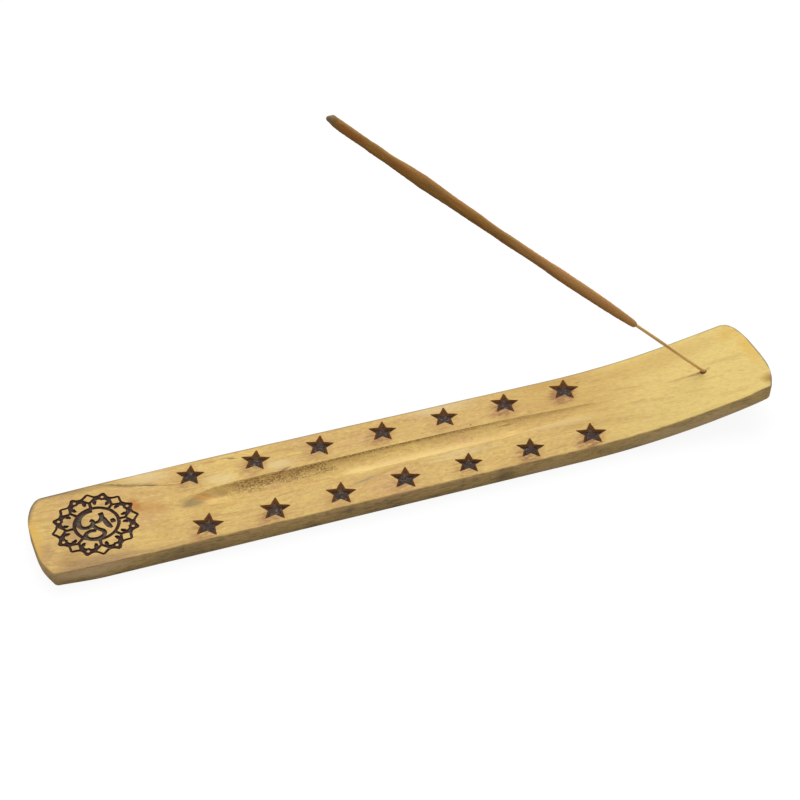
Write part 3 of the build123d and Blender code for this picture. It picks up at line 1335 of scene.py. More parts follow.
@dataclass
class StarRows:
    """Two rows of burnt-in five-pointed stars."""

    first: float = -73.1 * MM
    pitch: float = 22.16 * MM
    count: int = 7
    row: float = 11.7 * MM
    radius: float = 5.5 * MM
    points: int = 5
    notch: float = 0.455
    depth: float = 1.0 * MM
    floor_share: float = 0.6
    tip_rounding: float = 0.62 * MM
    above: float = 0.5 * MM
    unevenness: float = 0.1 * MM
    halo_shift: tuple[float, float] = (-1.9, -2.4)
    seed: int = 14

    def places(self) -> list[tuple[float, float]]:
        """Middles of the stars: the near row, then the far row."""
        return [(self.first + column * self.pitch, side * self.row)
                for side in (-1, 1) for column in range(self.count)]

    def halos(self) -> list[HaloRow]:
        """Lay out the scorched patches that lean to the near left of each star.

        Returns:
            The near row and the far row.
        """
        aside, near = self.halo_shift
        return [HaloRow(self.first / MM + aside, side * self.row / MM + near, self.pitch / MM, strengths)
                for side, strengths in zip((-1, 1), HALO_STRENGTHS)]

    def _one(self) -> bpy.types.Object:
        """Model one star-shaped cutter with sloping walls, its top at the origin's height.

        Returns:
            The cutter.
        """
        half_turn = math.pi / self.points
        star = Bench.add(bpy.ops.mesh.primitive_circle_add, "star_cutter", vertices=2 * self.points,
                         radius=self.radius, fill_type="NGON", rotation=(0, 0, -half_turn / 2))
        Bench.edit(star)
        Bench.pick(star, MeshPart.POINT,
                   lambda co, _: round(math.atan2(co.y, co.x) / half_turn) % 2 == 1)
        bpy.ops.transform.resize(value=(self.notch,) * 3, center_override=(0, 0, 0))
        Bench.pick(star, MeshPart.POINT, lambda co, _: co.length > self.radius * 0.9)
        bpy.ops.mesh.bevel(offset=self.tip_rounding, segments=2, affect="VERTICES")
        bpy.ops.mesh.select_all(action="SELECT")
        slope = (1 - self.floor_share) / self.depth
        bpy.ops.transform.resize(value=(1 + slope * self.above,) * 2 + (1,), center_override=(0, 0, 0))
        bpy.ops.transform.translate(value=(0, 0, self.above))
        for drop, share in ((self.above, 1 / (1 + slope * self.above)), (self.depth, self.floor_share)):
            bpy.ops.mesh.extrude_region_move(TRANSFORM_OT_translate={"value": (0, 0, -drop)})
            bpy.ops.transform.resize(value=(share, share, 1), center_override=(0, 0, 0))
        Bench.pick(star, MeshPart.FACE, lambda co, _: co.z < -0.9 * self.depth)
        bpy.ops.mesh.poke()
        bpy.ops.mesh.subdivide(number_cuts=2)
        bpy.ops.mesh.select_all(action="SELECT")
        bpy.ops.mesh.normals_make_consistent(inside=False)
        Bench.done()
        return star

    def cutter(self, shape: BoardShape, finish: bpy.types.Material) -> bpy.types.Object:
        """Model all stars, each a little different, as one cutter.

        Args:
            shape: side view of the board.
            finish: material of the cut.

        Returns:
            The cutter.
        """
        model = self._one()
        hand = random.Random(self.seed)
        sizes = [value for row in STAR_SIZES for value in row]
        stars = []
        for number, (x, y) in enumerate(self.places()):
            star = Bench.stamp(model, Matrix())
            Bench.edit(star)
            Bench.pick(star, MeshPart.POINT,
                       lambda co, _: co.z < -0.95 * self.depth and co.xy.length < self.radius * 0.3)
            bpy.ops.transform.vertex_random(offset=self.unevenness, normal=1.0, seed=number)
            Bench.done()
            slope = math.atan(float(shape.top(x + MM) - shape.top(x)) / MM)
            size = sizes[number]
            stars.append(Bench.stamp(star, (
                Matrix.Translation((x, y, float(shape.top(x))))
                @ Matrix.Rotation(-slope, 4, "Y")
                @ Matrix.Rotation(math.radians(hand.uniform(-2.0, 2.0)), 4, "Z")
                @ Matrix.Diagonal((size, size * hand.uniform(0.98, 1.02), hand.uniform(0.88, 1.06), 1)))))
            bpy.data.objects.remove(star, do_unlink=True)
        bpy.data.objects.remove(model, do_unlink=True)
        joined = Bench.merge(stars, "star_cutters")
        Bench.dress(joined, finish)
        return joined


@dataclass(frozen=True)
class Stroke:
    """One burnt line: its kind, its points as x, y and width share, and whether it closes."""

    line: Line
    points: Points
    closed: bool = False


@dataclass
class PetalOrnament:
    """Round burnt-in ornament: a ring with an Om sign inside and sixteen petal points outside."""

    middle: float = -106.7 * MM
    ring: float = 7.0
    ring_shift: float = 0.35
    petals: int = 8
    bead: float = 0.78
    bead_place: float = 11.95
    above: float = 0.3
    lip: float = 0.1
    flare: float = 0.12
    melt: float = 0.115
    seed: int = 5

    @staticmethod
    def _polar(turn: float, points: Sequence[tuple[float, float, float]]) -> Points:
        """Place points given by angle, radius and width share.

        Args:
            turn: angle of the petal's axis, in degrees.
            points: angle from that axis, radius in millimetres, width share.

        Returns:
            The points as x, y and width share.
        """
        placed = []
        for angle, radius, share in points:
            heading = math.radians(turn + angle)
            placed.append((radius * math.cos(heading), radius * math.sin(heading), share))
        return tuple(placed)

    def _petal_strokes(self) -> list[Stroke]:
        """Lines of one back petal, its axis along X, with the front petal next to it.

        Returns:
            The strokes.
        """
        front = 180 / self.petals
        strokes = [
            Stroke(Line.PLAIN, self._polar(0, ((0, 7.2, 1.25), (0, 8.6, 1.1), (0, 9.7, 1.15)))),
            Stroke(Line.FINE, self._polar(front, ((0, 11.2, 1.0), (0, 10.45, 0.7))))]
        for side in (-1, 1):
            for line, turn, points in (
                    (Line.FINE, 0, ((13, 12.0, 1.05), (8.5, 12.15, 1.0), (4, 12.75, 1.0), (0, 13.6, 0.9))),
                    (Line.FINE, front, ((10, 11.95, 1.1), (6, 12.35, 1.0), (3, 12.95, 1.0),
                                        (0, 13.75, 0.9))),
                    (Line.FINE, front, ((22.2, 9.5, 1.1), (18.2, 10.15, 1.0), (14.6, 10.85, 1.05),
                                        (10.5, 11.9, 1.15))),
                    (Line.PLAIN, front, ((1.2, 11.1, 1.0), (6.0, 11.25, 1.15), (10.6, 10.8, 1.1),
                                         (12.8, 10.0, 0.9), (11.8, 9.35, 1.7), (8.6, 9.25, 1.8)))):
                mirrored = [(side * angle, radius, share) for angle, radius, share in points]
                strokes.append(Stroke(line, self._polar(turn, mirrored)))
        bead = [(self.bead_place + self.bead * math.cos(a), self.bead * math.sin(a))
                for a in np.radians(range(0, 360, 60))]
        strokes.append(Stroke(Line.FINE, self._polar(
            front, [(math.degrees(math.atan2(v, u)), math.hypot(u, v), 0.72) for u, v in bead]), True))
        return strokes

    def _sign_strokes(self) -> list[Stroke]:
        """Lines of the ring and of the Om sign, in millimetres from the ornament's middle.

        Returns:
            The strokes.
        """
        circle = self._polar(0, [(angle, self.ring, 1.0) for angle in range(0, 360, 30)])
        return [
            Stroke(Line.RING, tuple((x + self.ring_shift, y, share) for x, y, share in circle), True),
            Stroke(Line.BROAD, (
                (0.1, 5.85, 0.8), (-1.3, 5.75, 0.95), (-2.9, 5.25, 1.1), (-4.2, 4.2, 1.2),
                (-4.95, 2.7, 1.25), (-5.1, 1.2, 1.15), (-4.8, 0.0, 1.05), (-3.8, -0.8, 1.0),
                (-2.5, -0.95, 1.05), (-1.3, -0.4, 1.1), (-0.65, 0.6, 1.05), (-0.75, 1.5, 1.0),
                (-1.35, 2.1, 1.0))),
            Stroke(Line.BROAD, (
                (-0.7, 0.5, 0.9), (0.2, 0.5, 0.9), (1.0, 0.62, 0.95), (1.75, 1.15, 1.0), (2.35, 2.2, 1.05),
                (2.5, 3.4, 1.15), (2.3, 4.4, 1.25))),
            Stroke(Line.BROAD, (
                (-1.1, -0.2, 0.9), (-0.5, -1.1, 0.95), (0.1, -2.0, 0.95), (1.0, -2.9, 1.0),
                (1.85, -3.8, 1.05), (1.95, -4.9, 1.05), (1.15, -5.85, 1.0), (-0.3, -6.4, 1.0))),
            Stroke(Line.BROAD, (
                (0.3, -6.25, 1.0), (-0.6, -6.45, 1.0), (-1.8, -6.35, 1.0), (-3.3, -5.7, 1.05),
                (-4.0, -4.4, 1.05), (-3.6, -3.4, 1.0), (-2.5, -2.75, 0.95), (-1.3, -2.7, 0.95),
                (-0.3, -3.0, 0.9))),
            Stroke(Line.FAINT, (
                (2.85, 2.3, 0.6), (3.05, 1.2, 0.95), (3.4, -0.4, 1.25), (3.95, -1.9, 1.15),
                (4.75, -3.2, 0.65))),
            Stroke(Line.FAINT, ((5.35, 0.75, 0.8), (5.5, 0.1, 1.15), (5.6, -0.6, 1.15), (5.7, -1.2, 0.8))),
        ]

    def _section(self, line: Line) -> bpy.types.Object:
        """Model the section of a burnt line as a closed outline.

        Args:
            line: its width and depth.

        Returns:
            The outline, as a curve.
        """
        width, depth = line.value
        half = width / 2
        outline = [(half + self.lip + self.flare, self.above), (half + self.lip, 0.0), (half, -self.lip),
                   (half * 0.72, -depth * 0.9), (half * 0.3, -depth)]
        outline += [(-across, up) for across, up in reversed(outline)]
        data = bpy.data.curves.new("line_section_" + line.name.lower(), "CURVE")
        data.dimensions = "2D"
        spline = data.splines.new("POLY")
        spline.points.add(len(outline) - 1)
        for point, (across, up) in zip(spline.points, outline):
            point.co = (across * MM, up * MM, 0, 1)
        spline.use_cyclic_u = True
        section = bpy.data.objects.new(data.name, data)
        bpy.context.collection.objects.link(section)
        return section

    @staticmethod
    def _trace(stroke: Stroke, section: bpy.types.Object, hand: random.Random) -> bpy.types.Object:
        """Draw one burnt line with its section.

        Args:
            stroke: the line's kind, its points and whether it closes.
            section: outline of its section.
            hand: source of the small unevenness.

        Returns:
            The line as a closed mesh, the board's upper face at height 0.
        """
        data = bpy.data.curves.new("burnt_line", "CURVE")
        data.dimensions = "3D"
        data.twist_mode = "Z_UP"
        data.resolution_u = 5
        data.bevel_mode = "OBJECT"
        data.bevel_object = section
        data.use_fill_caps = not stroke.closed
        spline = data.splines.new("BEZIER")
        spline.bezier_points.add(len(stroke.points) - 1)
        spline.use_cyclic_u = stroke.closed
        level = hand.uniform(-0.05, 0.05) * MM
        for knot, (across, up, share) in zip(spline.bezier_points, stroke.points):
            knot.co = (across * MM, up * MM, level)
            knot.handle_left_type = knot.handle_right_type = "AUTO"
            knot.radius = share * hand.uniform(0.94, 1.06)
        trace = bpy.data.objects.new("burnt_line", data)
        bpy.context.collection.objects.link(trace)
        Bench.take(trace)
        bpy.ops.object.convert(target="MESH")
        Bench.close(trace)
        return trace

    def cutter(self, shape: BoardShape, finish: bpy.types.Material) -> bpy.types.Object:
        """Model all burnt lines, melted into one cutter where they cross.

        Args:
            shape: side view of the board.
            finish: material of the cuts.

        Returns:
            The cutter.
        """
        hand = random.Random(self.seed)
        sections = {line: self._section(line) for line in Line}
        lines, petal = (
            [self._trace(stroke, sections[stroke.line], hand) for stroke in strokes]
            for strokes in (self._sign_strokes(), self._petal_strokes()))
        model = Bench.merge(petal, "petal_lines")
        for number in range(self.petals):
            turn = number * 360 / self.petals + hand.uniform(-0.8, 0.8)
            size = hand.uniform(0.988, 1.012)
            lines.append(Bench.stamp(model, Matrix.Rotation(math.radians(turn), 4, "Z")
                                     @ Matrix.Diagonal((size, size, hand.uniform(0.9, 1.1), 1))))
        melted = Bench.merge(lines, "ornament_cutter")
        Bench.modify(melted, "REMESH", mode="VOXEL", voxel_size=self.melt * MM)
        Bench.modify(melted, "SMOOTH", factor=0.5, iterations=2)
        middle = np.array([self.middle, 0, float(shape.top(self.middle))])
        Bench.shape(melted, lambda points: points + middle)
        for spare in (model, *sections.values()):
            bpy.data.objects.remove(spare, do_unlink=True)
        Bench.dress(melted, finish)
        return melted


@dataclass
class StickLine:
    """Where the stick stands: its mouth in the board's upper face and its lean."""

    angle: float = math.radians(44.0)
    mouth_x: float = 107.0 * MM

    def direction(self) -> Vector:
        """Direction of the stick, away from the board."""
        return Vector((-math.cos(self.angle), 0, math.sin(self.angle)))

    def turn(self) -> float:
        """Turn about Y that brings the Z axis onto the stick."""
        return math.atan2(self.direction().x, self.direction().z)

    def mouth(self, shape: BoardShape) -> Vector:
        """Point where the stick's axis leaves the board."""
        return Vector((self.mouth_x, 0, float(shape.top(self.mouth_x))))

    def place(self, piece: bpy.types.Object, shape: BoardShape) -> None:
        """Bring a mesh modelled along Z onto the stick's line.

        Args:
            piece: the object, modelled with the mouth at the origin.
            shape: side view of the board.
        """
        piece.matrix_world = Matrix.Translation(self.mouth(shape)) @ Matrix.Rotation(self.turn(), 4, "Y")
        Bench.take(piece)
        bpy.ops.object.transform_apply(location=True, rotation=True, scale=True)


@dataclass
class HolderBoard:
    """The carved wooden board."""

    shape: BoardShape = field(default_factory=BoardShape)
    stars: StarRows = field(default_factory=StarRows)
    ornament: PetalOrnament = field(default_factory=PetalOrnament)
    stick: StickLine = field(default_factory=StickLine)
    margin: float = 0.08
    near_margin: float = 0.3
    rim_rounding: float = 0.36 * MM
    cut_pitch: float = 2.6 * MM
    sanding_pitch: float = 17 * MM
    sanding_depth: float = 0.14 * MM
    corner_lean: float = 0.4 * MM
    tip_wear: float = 1.1 * MM
    bar_radius: float = 7.0 * MM
    bar_overrun: tuple[float, float] = (8 * MM, 20 * MM)
    chatter_pitch: float = 1.5 * MM
    chatter_depth: float = 0.22 * MM
    hole_radius: float = 0.98 * MM
    hole_depth: float = 4.8 * MM
    mouth_flare: tuple[tuple[float, float], ...] = ((0.5, 1.03), (1.0, 1.08), (2.0, 1.14))
    side_slope: float = 0.55
    crease: float = 19.0

    def _corners(self) -> list[Corner]:
        """Corners of the plan, sanded by hand and so not alike.

        Returns:
            The corners, in order round the board.
        """
        low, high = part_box("holder_board")
        head, tip = low[0] / MM + self.margin, high[0] / MM - self.margin
        near, far = low[1] / MM + self.near_margin, high[1] / MM - self.margin
        return [
            Corner(head + 0.08, 6.2, 2.4, 10),
            Corner(head + 0.8, -7.2, 2.0),
            Corner(head + 1.45, -11.4, 1.9),
            Corner(head + 3.9, near + 0.9, 0.9, 4),
            Corner(-111.0, near, 4.0, 6),
            Corner(tip - 3.9, near, 0.9, 4),
            Corner(tip - 0.4, near + 6.7, 4.2),
            Corner(tip, far - 22.1, 2.8, 8),
            Corner(tip - 0.4, far - 9.6, 3.6),
            Corner(tip - 1.9, far - 3.5, 1.9),
            Corner(tip - 4.1, far - 0.55, 1.6, 8),
            Corner(112.0, far, 6.0, 6),
            Corner(-82.0, far, 18.0, 6),
            Corner(head + 5.0, far - 1.05, 1.3, 8),
            Corner(head + 2.9, far - 3.25, 1.4),
            Corner(head + 1.15, far - 6.85, 2.2),
        ]

    def _blank(self) -> bpy.types.Object:
        """Model the board before carving: plan, rounded rims, upturned end, sanded unevenness.

        Returns:
            The blank.
        """
        corners = self._corners()
        blank = Bench.add(bpy.ops.mesh.primitive_circle_add, "carved_board", vertices=len(corners),
                          radius=1, fill_type="NGON")
        order = np.array([(c.x * MM, c.y * MM, 0) for c in corners])
        Bench.shape(blank, lambda points: order)
        Bench.edit(blank)
        for corner in corners:
            spot = Vector((corner.x * MM, corner.y * MM, 0))
            Bench.pick(blank, MeshPart.POINT, lambda co, _: (co - spot).length < 1e-6)
            bpy.ops.mesh.bevel(offset=corner.rounding * MM, segments=corner.steps, affect="VERTICES")
        bpy.ops.mesh.select_all(action="SELECT")
        bpy.ops.mesh.extrude_region_move(TRANSFORM_OT_translate={"value": (0, 0, self.shape.thickness)})
        bpy.ops.mesh.select_all(action="SELECT")
        bpy.ops.mesh.normals_make_consistent(inside=False)
        thickness = self.shape.thickness
        Bench.pick(blank, MeshPart.EDGE, lambda co, way: abs(way.z) < 1e-9 and (
            co.z > 0.99 * thickness or co.z < 0.01 * thickness))
        bpy.ops.mesh.bevel(offset=self.rim_rounding, segments=5, affect="EDGES", clamp_overlap=False)
        low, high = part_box("holder_board")
        Bench.slice((Vector((x, 0, 0)), Vector((1, 0, 0)))
                    for x in np.arange(low[0] + 2 * MM, high[0] - MM, self.cut_pitch))
        Bench.slice((Vector((0, y, 0)), Vector((0, 1, 0)))
                    for y in np.arange(low[1] + 2 * MM, high[1] - MM, self.cut_pitch))
        Bench.slice([(Vector((0, 0, thickness / 2)), Vector((0, 0, 1)))])
        Bench.done()
        Bench.roughen(blank, self.sanding_pitch, self.sanding_depth,
                      lambda co: 1.0 if co.z > 0.2 * thickness else 0.0)
        Bench.shape(blank, self._bend)
        Bench.modify(blank, "TRIANGULATE")
        Bench.close(blank)
        return blank

    def _bend(self, points: np.ndarray) -> np.ndarray:
        """Turn the end up and lean the sanded corners in at the bottom.

        Args:
            points: points of the flat blank.

        Returns:
            The points of the bent blank.
        """
        x, y, z = points.T
        share = z / self.shape.thickness
        under, top = self.shape.under(x), self.shape.top(x)
        lean = (ramp(x, -110 * MM, -122 * MM) * ramp(y, -4 * MM, -12 * MM)
                * (1 - share) * self.corner_lean)
        worn = (ramp(x, 119 * MM, 127 * MM) ** 2 * ramp(y, 0, -12 * MM)
                * (1 - share) * self.tip_wear)
        return np.stack([x + lean, y + 0.9 * lean, under + share * (top - under) + worn], axis=1)

    def _groove_cutter(self, finish: bpy.types.Material) -> bpy.types.Object:
        """Model the round bar that scoops the groove, with chatter at its head end.

        Args:
            finish: material of the cut.

        Returns:
            The cutter.
        """
        before, beyond = self.bar_overrun
        start, end = self.shape.groove_head - before, self.shape.groove_exit + beyond
        bar = Bench.add(bpy.ops.mesh.primitive_cylinder_add, "groove_cutter", vertices=80,
                        radius=self.bar_radius, depth=end - start, rotation=(0, math.pi / 2, 0),
                        location=((start + end) / 2, 0, self.bar_radius))
        Bench.edit(bar)
        bpy.ops.mesh.bisect(plane_co=(0, 0, self.bar_radius * 0.9), plane_no=(0, 0, 1), use_fill=True,
                            clear_outer=True)
        for cuts in (15, 14):
            Bench.pick(bar, MeshPart.EDGE, lambda co, way: abs(way.x) > 0.9 * way.length)
            bpy.ops.mesh.subdivide(number_cuts=cuts)
        Bench.done()
        Bench.roughen(bar, self.chatter_pitch, self.chatter_depth, self._chatter)
        Bench.shape(bar, lambda points: points + np.outer(self.shape.groove(points[:, 0]), [0, 0, 1]))
        Bench.modify(bar, "TRIANGULATE")
        Bench.close(bar)
        Bench.dress(bar, finish)
        return bar

    @staticmethod
    def _chatter(co: Vector) -> float:
        """Strength of the chatter marks along the groove."""
        head = ramp(co.x, -20 * MM, -32 * MM) * ramp(co.x, -82 * MM, -72 * MM)
        return 0.25 + 0.75 * float(head) if abs(co.y) < 5 * MM else 0.0

    def _hole_cutter(self, finish: bpy.types.Material) -> bpy.types.Object:
        """Model the drill of the stick's hole, with a worn mouth.

        Args:
            finish: material of the cut.

        Returns:
            The cutter.
        """
        drill = Bench.add(bpy.ops.mesh.primitive_cylinder_add, "hole_cutter", vertices=40,
                          radius=self.hole_radius, depth=self.hole_depth,
                          location=(0, 0, -self.hole_depth / 2))
        Bench.edit(drill)
        Bench.pick(drill, MeshPart.FACE, lambda co, normal: normal.z > 0.9)
        for rise, share in self.mouth_flare:
            bpy.ops.mesh.extrude_region_move(TRANSFORM_OT_translate={"value": (0, 0, rise * MM)})
            bpy.ops.transform.resize(value=(share, share, 1), center_override=(0, 0, 0))
        Bench.done()
        self.stick.place(drill, self.shape)
        Bench.dress(drill, finish)
        return drill

    def build(self) -> bpy.types.Object:
        """Model, carve and dress the board.

        Returns:
            The finished board.
        """
        corners = self._corners()
        wood = BoardWood(stains=STAINS_AND_STICK_SHADOW).make(self.shape, corners, self.stars.halos())
        sides = BoardWood("board_wood_sides", marks=SIDE_MARKS).make(self.shape, corners)
        burnt = BurntWood(row=self.stars.row / MM).make(self.shape)
        board = self._blank()
        Bench.dress(board, wood, sides)
        Bench.edit(board)
        Bench.pick(board, MeshPart.FACE, lambda _, normal: normal.z < self.side_slope)
        board.active_material_index = 1
        bpy.ops.object.material_slot_assign()
        Bench.done()
        for cutter in (self._groove_cutter(wood), self.stars.cutter(self.shape, burnt),
                       self._hole_cutter(DRILLED.make(self.shape)),
                       self.ornament.cutter(self.shape, BURNT_LINE.make(self.shape))):
            Bench.carve(board, cutter)
        Bench.close(board)
        Bench.smooth(board, self.crease)
        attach(board, Body.BOARD.value)
        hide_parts("holder_board")
        return board


@dataclass
class IncenseStick:
    """The bamboo splint and the paste rolled round it, modelled along Z from the hole's mouth."""

    shape: BoardShape = field(default_factory=BoardShape)
    line: StickLine = field(default_factory=StickLine)
    foot: float = -4.4 * MM
    core_radius: float = 0.54 * MM
    core_lift: float = 0.32 * MM
    paste_step: float = 2.0 * MM
    paste_sides: int = 12
    paste_swell: float = 1.075
    lump_pitch: float = 0.9 * MM
    lump_depth: float = 0.16 * MM
    powder_pitch: float = 0.34 * MM
    powder_depth: float = 0.12 * MM
    powder_shift: float = 5 * MM
    crease: float = 50.0

    @staticmethod
    def _edges() -> tuple[np.ndarray, np.ndarray, np.ndarray]:
        """Reach of the paste above and below the stick's line, in millimetres.

        Returns:
            Distances from the mouth, and the reach above and below there.
        """
        table = np.array([
            (41.4, 1.2, 0.85), (42.2, 1.35, 1.0), (45, 1.55, 1.1), (51, 1.75, 1.35), (57, 1.85, 1.5),
            (69, 1.85, 1.7), (75, 1.75, 1.75), (83, 1.8, 1.7), (88, 1.65, 1.55), (96, 1.55, 1.5),
            (108, 1.5, 1.75), (114, 1.4, 1.65), (123, 1.75, 1.7), (135, 1.75, 1.7), (147, 2.05, 1.9),
            (153, 1.9, 1.7), (162, 1.45, 1.45), (168, 1.65, 1.45), (171, 1.5, 1.35), (180, 1.65, 1.35),
            (183, 1.65, 1.25), (184.4, 1.65, 1.05), (185.2, 1.75, 0.9), (185.8, 1.65, 0.8),
            (186.3, 1.25, 0.72), (186.8, 0.8, 0.6), (187.15, 0.4, 0.35)])
        return table[:, 0], table[:, 1], table[:, 2]

    def _splint(self) -> bpy.types.Object:
        """Model the split bamboo: an uneven section drawn along the stick.

        Returns:
            The splint.
        """
        splint = Bench.add(bpy.ops.mesh.primitive_circle_add, "bamboo_splint", vertices=16,
                           radius=self.core_radius * 0.6, fill_type="NGON", location=(0, 0, self.foot))
        Bench.edit(splint)
        stations = (
            (0.25, 1.0, 0.55), (4.0, 1.04, 0.6), (9.0, 1.0, 0.65), (16.0, 0.97, 0.7), (24.0, 1.0, 0.8),
            (32.0, 1.03, 0.95), (40.0, 0.99, 1.0), (47.0, 1.0, 1.0), (80.0, 1.0, 0.7), (130.0, 1.0, 0.6),
            (189.0, 0.95, 0.5))
        height, width, offset = 0.0, 0.6, 0.0
        for along, share, lift in stations:
            bpy.ops.mesh.extrude_region_move(TRANSFORM_OT_translate={
                "value": ((lift - offset) * self.core_lift, 0, (along - height) * MM)})
            bpy.ops.transform.resize(value=(share / width,) * 2 + (1,),
                                     center_override=(lift * self.core_lift, 0, 0))
            height, width, offset = along, share, lift
        Bench.pick(splint, MeshPart.EDGE, lambda co, way: abs(way.z) > 2 * MM)
        bpy.ops.mesh.subdivide(number_cuts=9)
        Bench.done()
        Bench.shape(splint, self._split)
        Bench.close(splint)
        self.line.place(splint, self.shape)
        return splint

    def _split(self, points: np.ndarray) -> np.ndarray:
        """Flatten the splint's sides and roughen its fibres.

        Args:
            points: points of the round splint.

        Returns:
            The points of the split one.
        """
        x, y, z = points.T
        around = np.arctan2(y, x)
        fibre = 1 - 0.07 * np.cos(4 * around + 0.6) - 0.03 * np.cos(7 * around) + 0.025 * np.sin(
            around * 3 + z / (9 * MM)) + 0.02 * np.sin(around * 5 - z / (2.3 * MM))
        return np.stack([x * fibre, y * fibre, z], axis=1)

    def _paste(self) -> bpy.types.Object:
        """Model the roll of paste: lumpy, rounded at the foot and ragged at the tip.

        Returns:
            The roll.
        """
        places, above, below = self._edges()
        stations = np.unique(np.concatenate([places, np.arange(44, 185, self.paste_step / MM)]))
        above, below = np.interp(stations, places, above), np.interp(stations, places, below)
        radii, middles = (above + below) / 2 * self.paste_swell, (above - below) / 2
        radius, middle, height = radii[0] * 0.72, middles[0], stations[0] - 0.12
        roll = Bench.add(bpy.ops.mesh.primitive_circle_add, "incense_paste_roll", vertices=self.paste_sides,
                         radius=radius * MM, fill_type="NGON", location=(middle * MM, 0, height * MM))
        Bench.edit(roll)
        for along, wide, aside in zip(stations, radii, middles):
            bpy.ops.mesh.extrude_region_move(TRANSFORM_OT_translate={
                "value": ((aside - middle) * MM, 0, (along - height) * MM)})
            bpy.ops.transform.resize(value=(wide / radius,) * 2 + (1,), center_override=(aside * MM, 0, 0))
            radius, middle, height = wide, aside, along
        Bench.done()
        Bench.close(roll)
        Bench.modify(roll, "SUBSURF", levels=2, render_levels=2)
        Bench.shape(roll, self._rolled)
        Bench.roughen(roll, self.lump_pitch, self.lump_depth, lambda co: 1.0)
        Bench.roughen(roll, self.powder_pitch, self.powder_depth, lambda co: 1.0, self.powder_shift)
        self.line.place(roll, self.shape)
        return roll

    @staticmethod
    def _rolled(points: np.ndarray) -> np.ndarray:
        """Make the roll uneven: a section that is not quite round, and a nick at the tip.

        Args:
            points: points of the even roll.

        Returns:
            The points of the uneven one.
        """
        x, y, z = points.T
        along = z / MM
        around = np.arctan2(y, x)
        oval = 1 + 0.02 * np.sin(2 * around + along / 11) + 0.012 * np.sin(3 * around - along / 6)
        sway_y = 0.08 * MM * np.sin(along / 12 + 2.0)
        nick = np.exp(-((along - 186.3) / 0.35) ** 2) * np.clip(np.cos(around), 0, 1)
        oval = oval - 0.1 * nick
        return np.stack([x * oval, y * oval + sway_y, z], axis=1)

    def build(self) -> list[bpy.types.Object]:
        """Model and dress both pieces of the stick.

        Returns:
            The splint and the roll.
        """
        mouth, turn = self.line.mouth(self.shape), self.line.turn()
        splint, roll = self._splint(), self._paste()
        for piece, node, slot, finish in (
                (splint, "stick_core", "bamboo", Bamboo().make(mouth, turn)),
                (roll, "incense_coat", "incense_paste", IncensePaste().make(mouth, turn))):
            Bench.dress(piece, finish)
            Bench.smooth(piece, self.crease)
            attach(piece, Body.STICK.value)
            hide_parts(node)
        return [splint, roll]


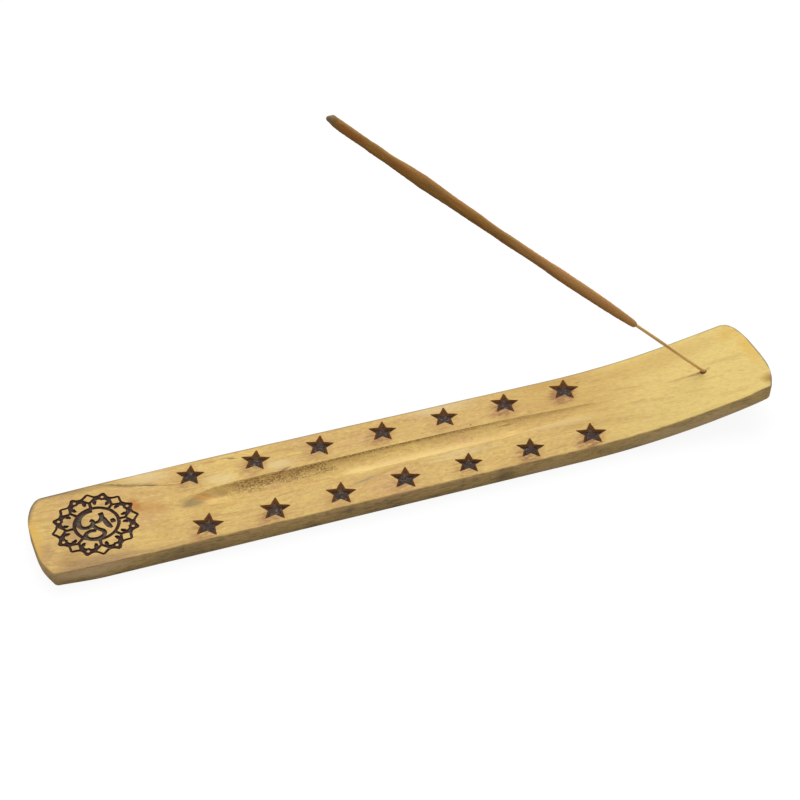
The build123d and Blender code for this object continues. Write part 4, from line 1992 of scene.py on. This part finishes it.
@dataclass
class Studio:
    """Floor, light and the camera at the photograph's angle."""

    floor_size: float = 6.0
    floor_drop: float = 0.05 * MM
    azimuth: float = math.radians(-19.9)
    elevation: float = math.radians(42.1)
    roll: float = math.radians(0.985)
    eye: Vector = field(default_factory=lambda: Vector((-142.0, -379.1, 394.1)) * MM)
    focal_share: float = 1683 / 800
    sensor: float = 36.0
    floor_grey: float = 0.35
    shadow_grey: float = 0.13
    floor_glow: float = 0.9
    sky: float = 0.5
    key_power: float = 13.2
    key_place: Vector = field(default_factory=lambda: Vector((0.25, 0.75, 0.95)))
    key_size: float = 1.5

    @staticmethod
    def _seen(tree: FinishTree) -> Wire:
        """Tell rays that show a surface to the camera, directly or in gloss and glass.

        Args:
            tree: the node tree.

        Returns:
            1 for such rays, else 0.
        """
        path = tree.node("ShaderNodeLightPath")
        return (tree.out(path, "Is Camera Ray") + tree.out(path, "Is Glossy Ray")
                + tree.out(path, "Is Transmission Ray")).at_most(1.0)

    def _floor(self) -> None:
        """Lay the pale floor, white to the camera and with a soft shadow."""
        floor = Bench.add(bpy.ops.mesh.primitive_plane_add, "studio_floor", size=self.floor_size,
                          location=(0, 0, -self.floor_drop))
        tree = FinishTree(bpy.data.materials.new("studio_floor"))
        plain, shadow = (tree.node("ShaderNodeBsdfDiffuse", None, {"Color": (grey, grey, grey, 1)})
                         for grey in (self.floor_grey, self.shadow_grey))
        white = tree.node("ShaderNodeEmission", None, {"Color": (1, 1, 1, 1), "Strength": self.floor_glow})
        lit = tree.node("ShaderNodeAddShader", None,
                        {"Shader": tree.out(shadow, "BSDF"), "Shader_001": tree.out(white, "Emission")})
        both = tree.node("ShaderNodeMixShader", None,
                         {"Fac": self._seen(tree), "Shader": tree.out(plain, "BSDF"),
                          "Shader_001": tree.out(lit, "Shader")})
        tree.node("ShaderNodeOutputMaterial", None, {"Surface": tree.out(both, "Shader")})
        Bench.dress(floor, tree.owner)
        floor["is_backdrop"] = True

    def _sky(self) -> None:
        """Fill the room with even light; the camera sees it white."""
        world = bpy.data.worlds.new("studio")
        bpy.context.scene.world = world
        tree = FinishTree(world)
        fill, white = (tree.node("ShaderNodeBackground", None, {"Color": (1, 1, 1, 1), "Strength": strength})
                       for strength in (self.sky, 1.0))
        both = tree.node("ShaderNodeMixShader", None,
                         {"Fac": self._seen(tree), "Shader": tree.out(fill, "Background"),
                          "Shader_001": tree.out(white, "Background")})
        tree.node("ShaderNodeOutputWorld", None, {"Surface": tree.out(both, "Shader")})

    def _key(self) -> None:
        """Hang the large soft lamp behind and above the board."""
        Bench.clear()
        bpy.ops.object.light_add(type="AREA", location=self.key_place)
        lamp = bpy.context.object
        lamp.name = "key_light"
        lamp.data.shape = "DISK"
        lamp.data.size = self.key_size
        lamp.data.energy = self.key_power
        lamp.rotation_euler = (-self.key_place).to_track_quat("-Z", "Y").to_euler()

    def _camera(self) -> None:
        """Set up the camera where the photograph was taken."""
        back = Vector((math.sin(self.azimuth) * math.cos(self.elevation),
                       -math.cos(self.azimuth) * math.cos(self.elevation), math.sin(self.elevation)))
        right = (-back).cross(Vector((0, 0, 1))).normalized()
        up = right.cross(-back)
        right, up = (math.cos(self.roll) * right + math.sin(self.roll) * up,
                     -math.sin(self.roll) * right + math.cos(self.roll) * up)
        Bench.clear()
        bpy.ops.object.camera_add()
        camera = bpy.context.object
        camera.name = "photo_camera"
        turn = Matrix((right, up, back)).transposed().to_4x4()
        camera.matrix_world = Matrix.Translation(self.eye) @ turn
        camera.data.sensor_width = self.sensor
        camera.data.lens = self.focal_share * self.sensor
        camera.data.clip_start = 0.01
        camera.data.dof.use_dof = False
        bpy.context.scene.camera = camera

    def build(self) -> None:
        """Set up the whole studio."""
        bpy.context.scene.view_settings.view_transform = "Standard"
        self._floor()
        self._sky()
        self._key()
        self._camera()


def write_sizes() -> None:
    """Gather the solids' box and the dressed part's box as plain lists."""
    boxes = {name: [[float(value) for value in corner] for corner in box]
             for name, box in (("cad", CAD_BOX), ("visual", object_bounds()))}


def main() -> None:
    """Build the studio and the pieces in order and report each piece."""
    logging.basicConfig(level=logging.INFO, format="%(name)s: %(message)s")
    Studio().build()
    pieces = [HolderBoard().build(), *IncenseStick().build()]
    for piece in pieces:
        piece.data.calc_loop_triangles()
        LOG.info("%s: %d triangles", piece.name, len(piece.data.loop_triangles))
    Bench.clear()
    write_sizes()


if __name__ == "__main__":
    main()
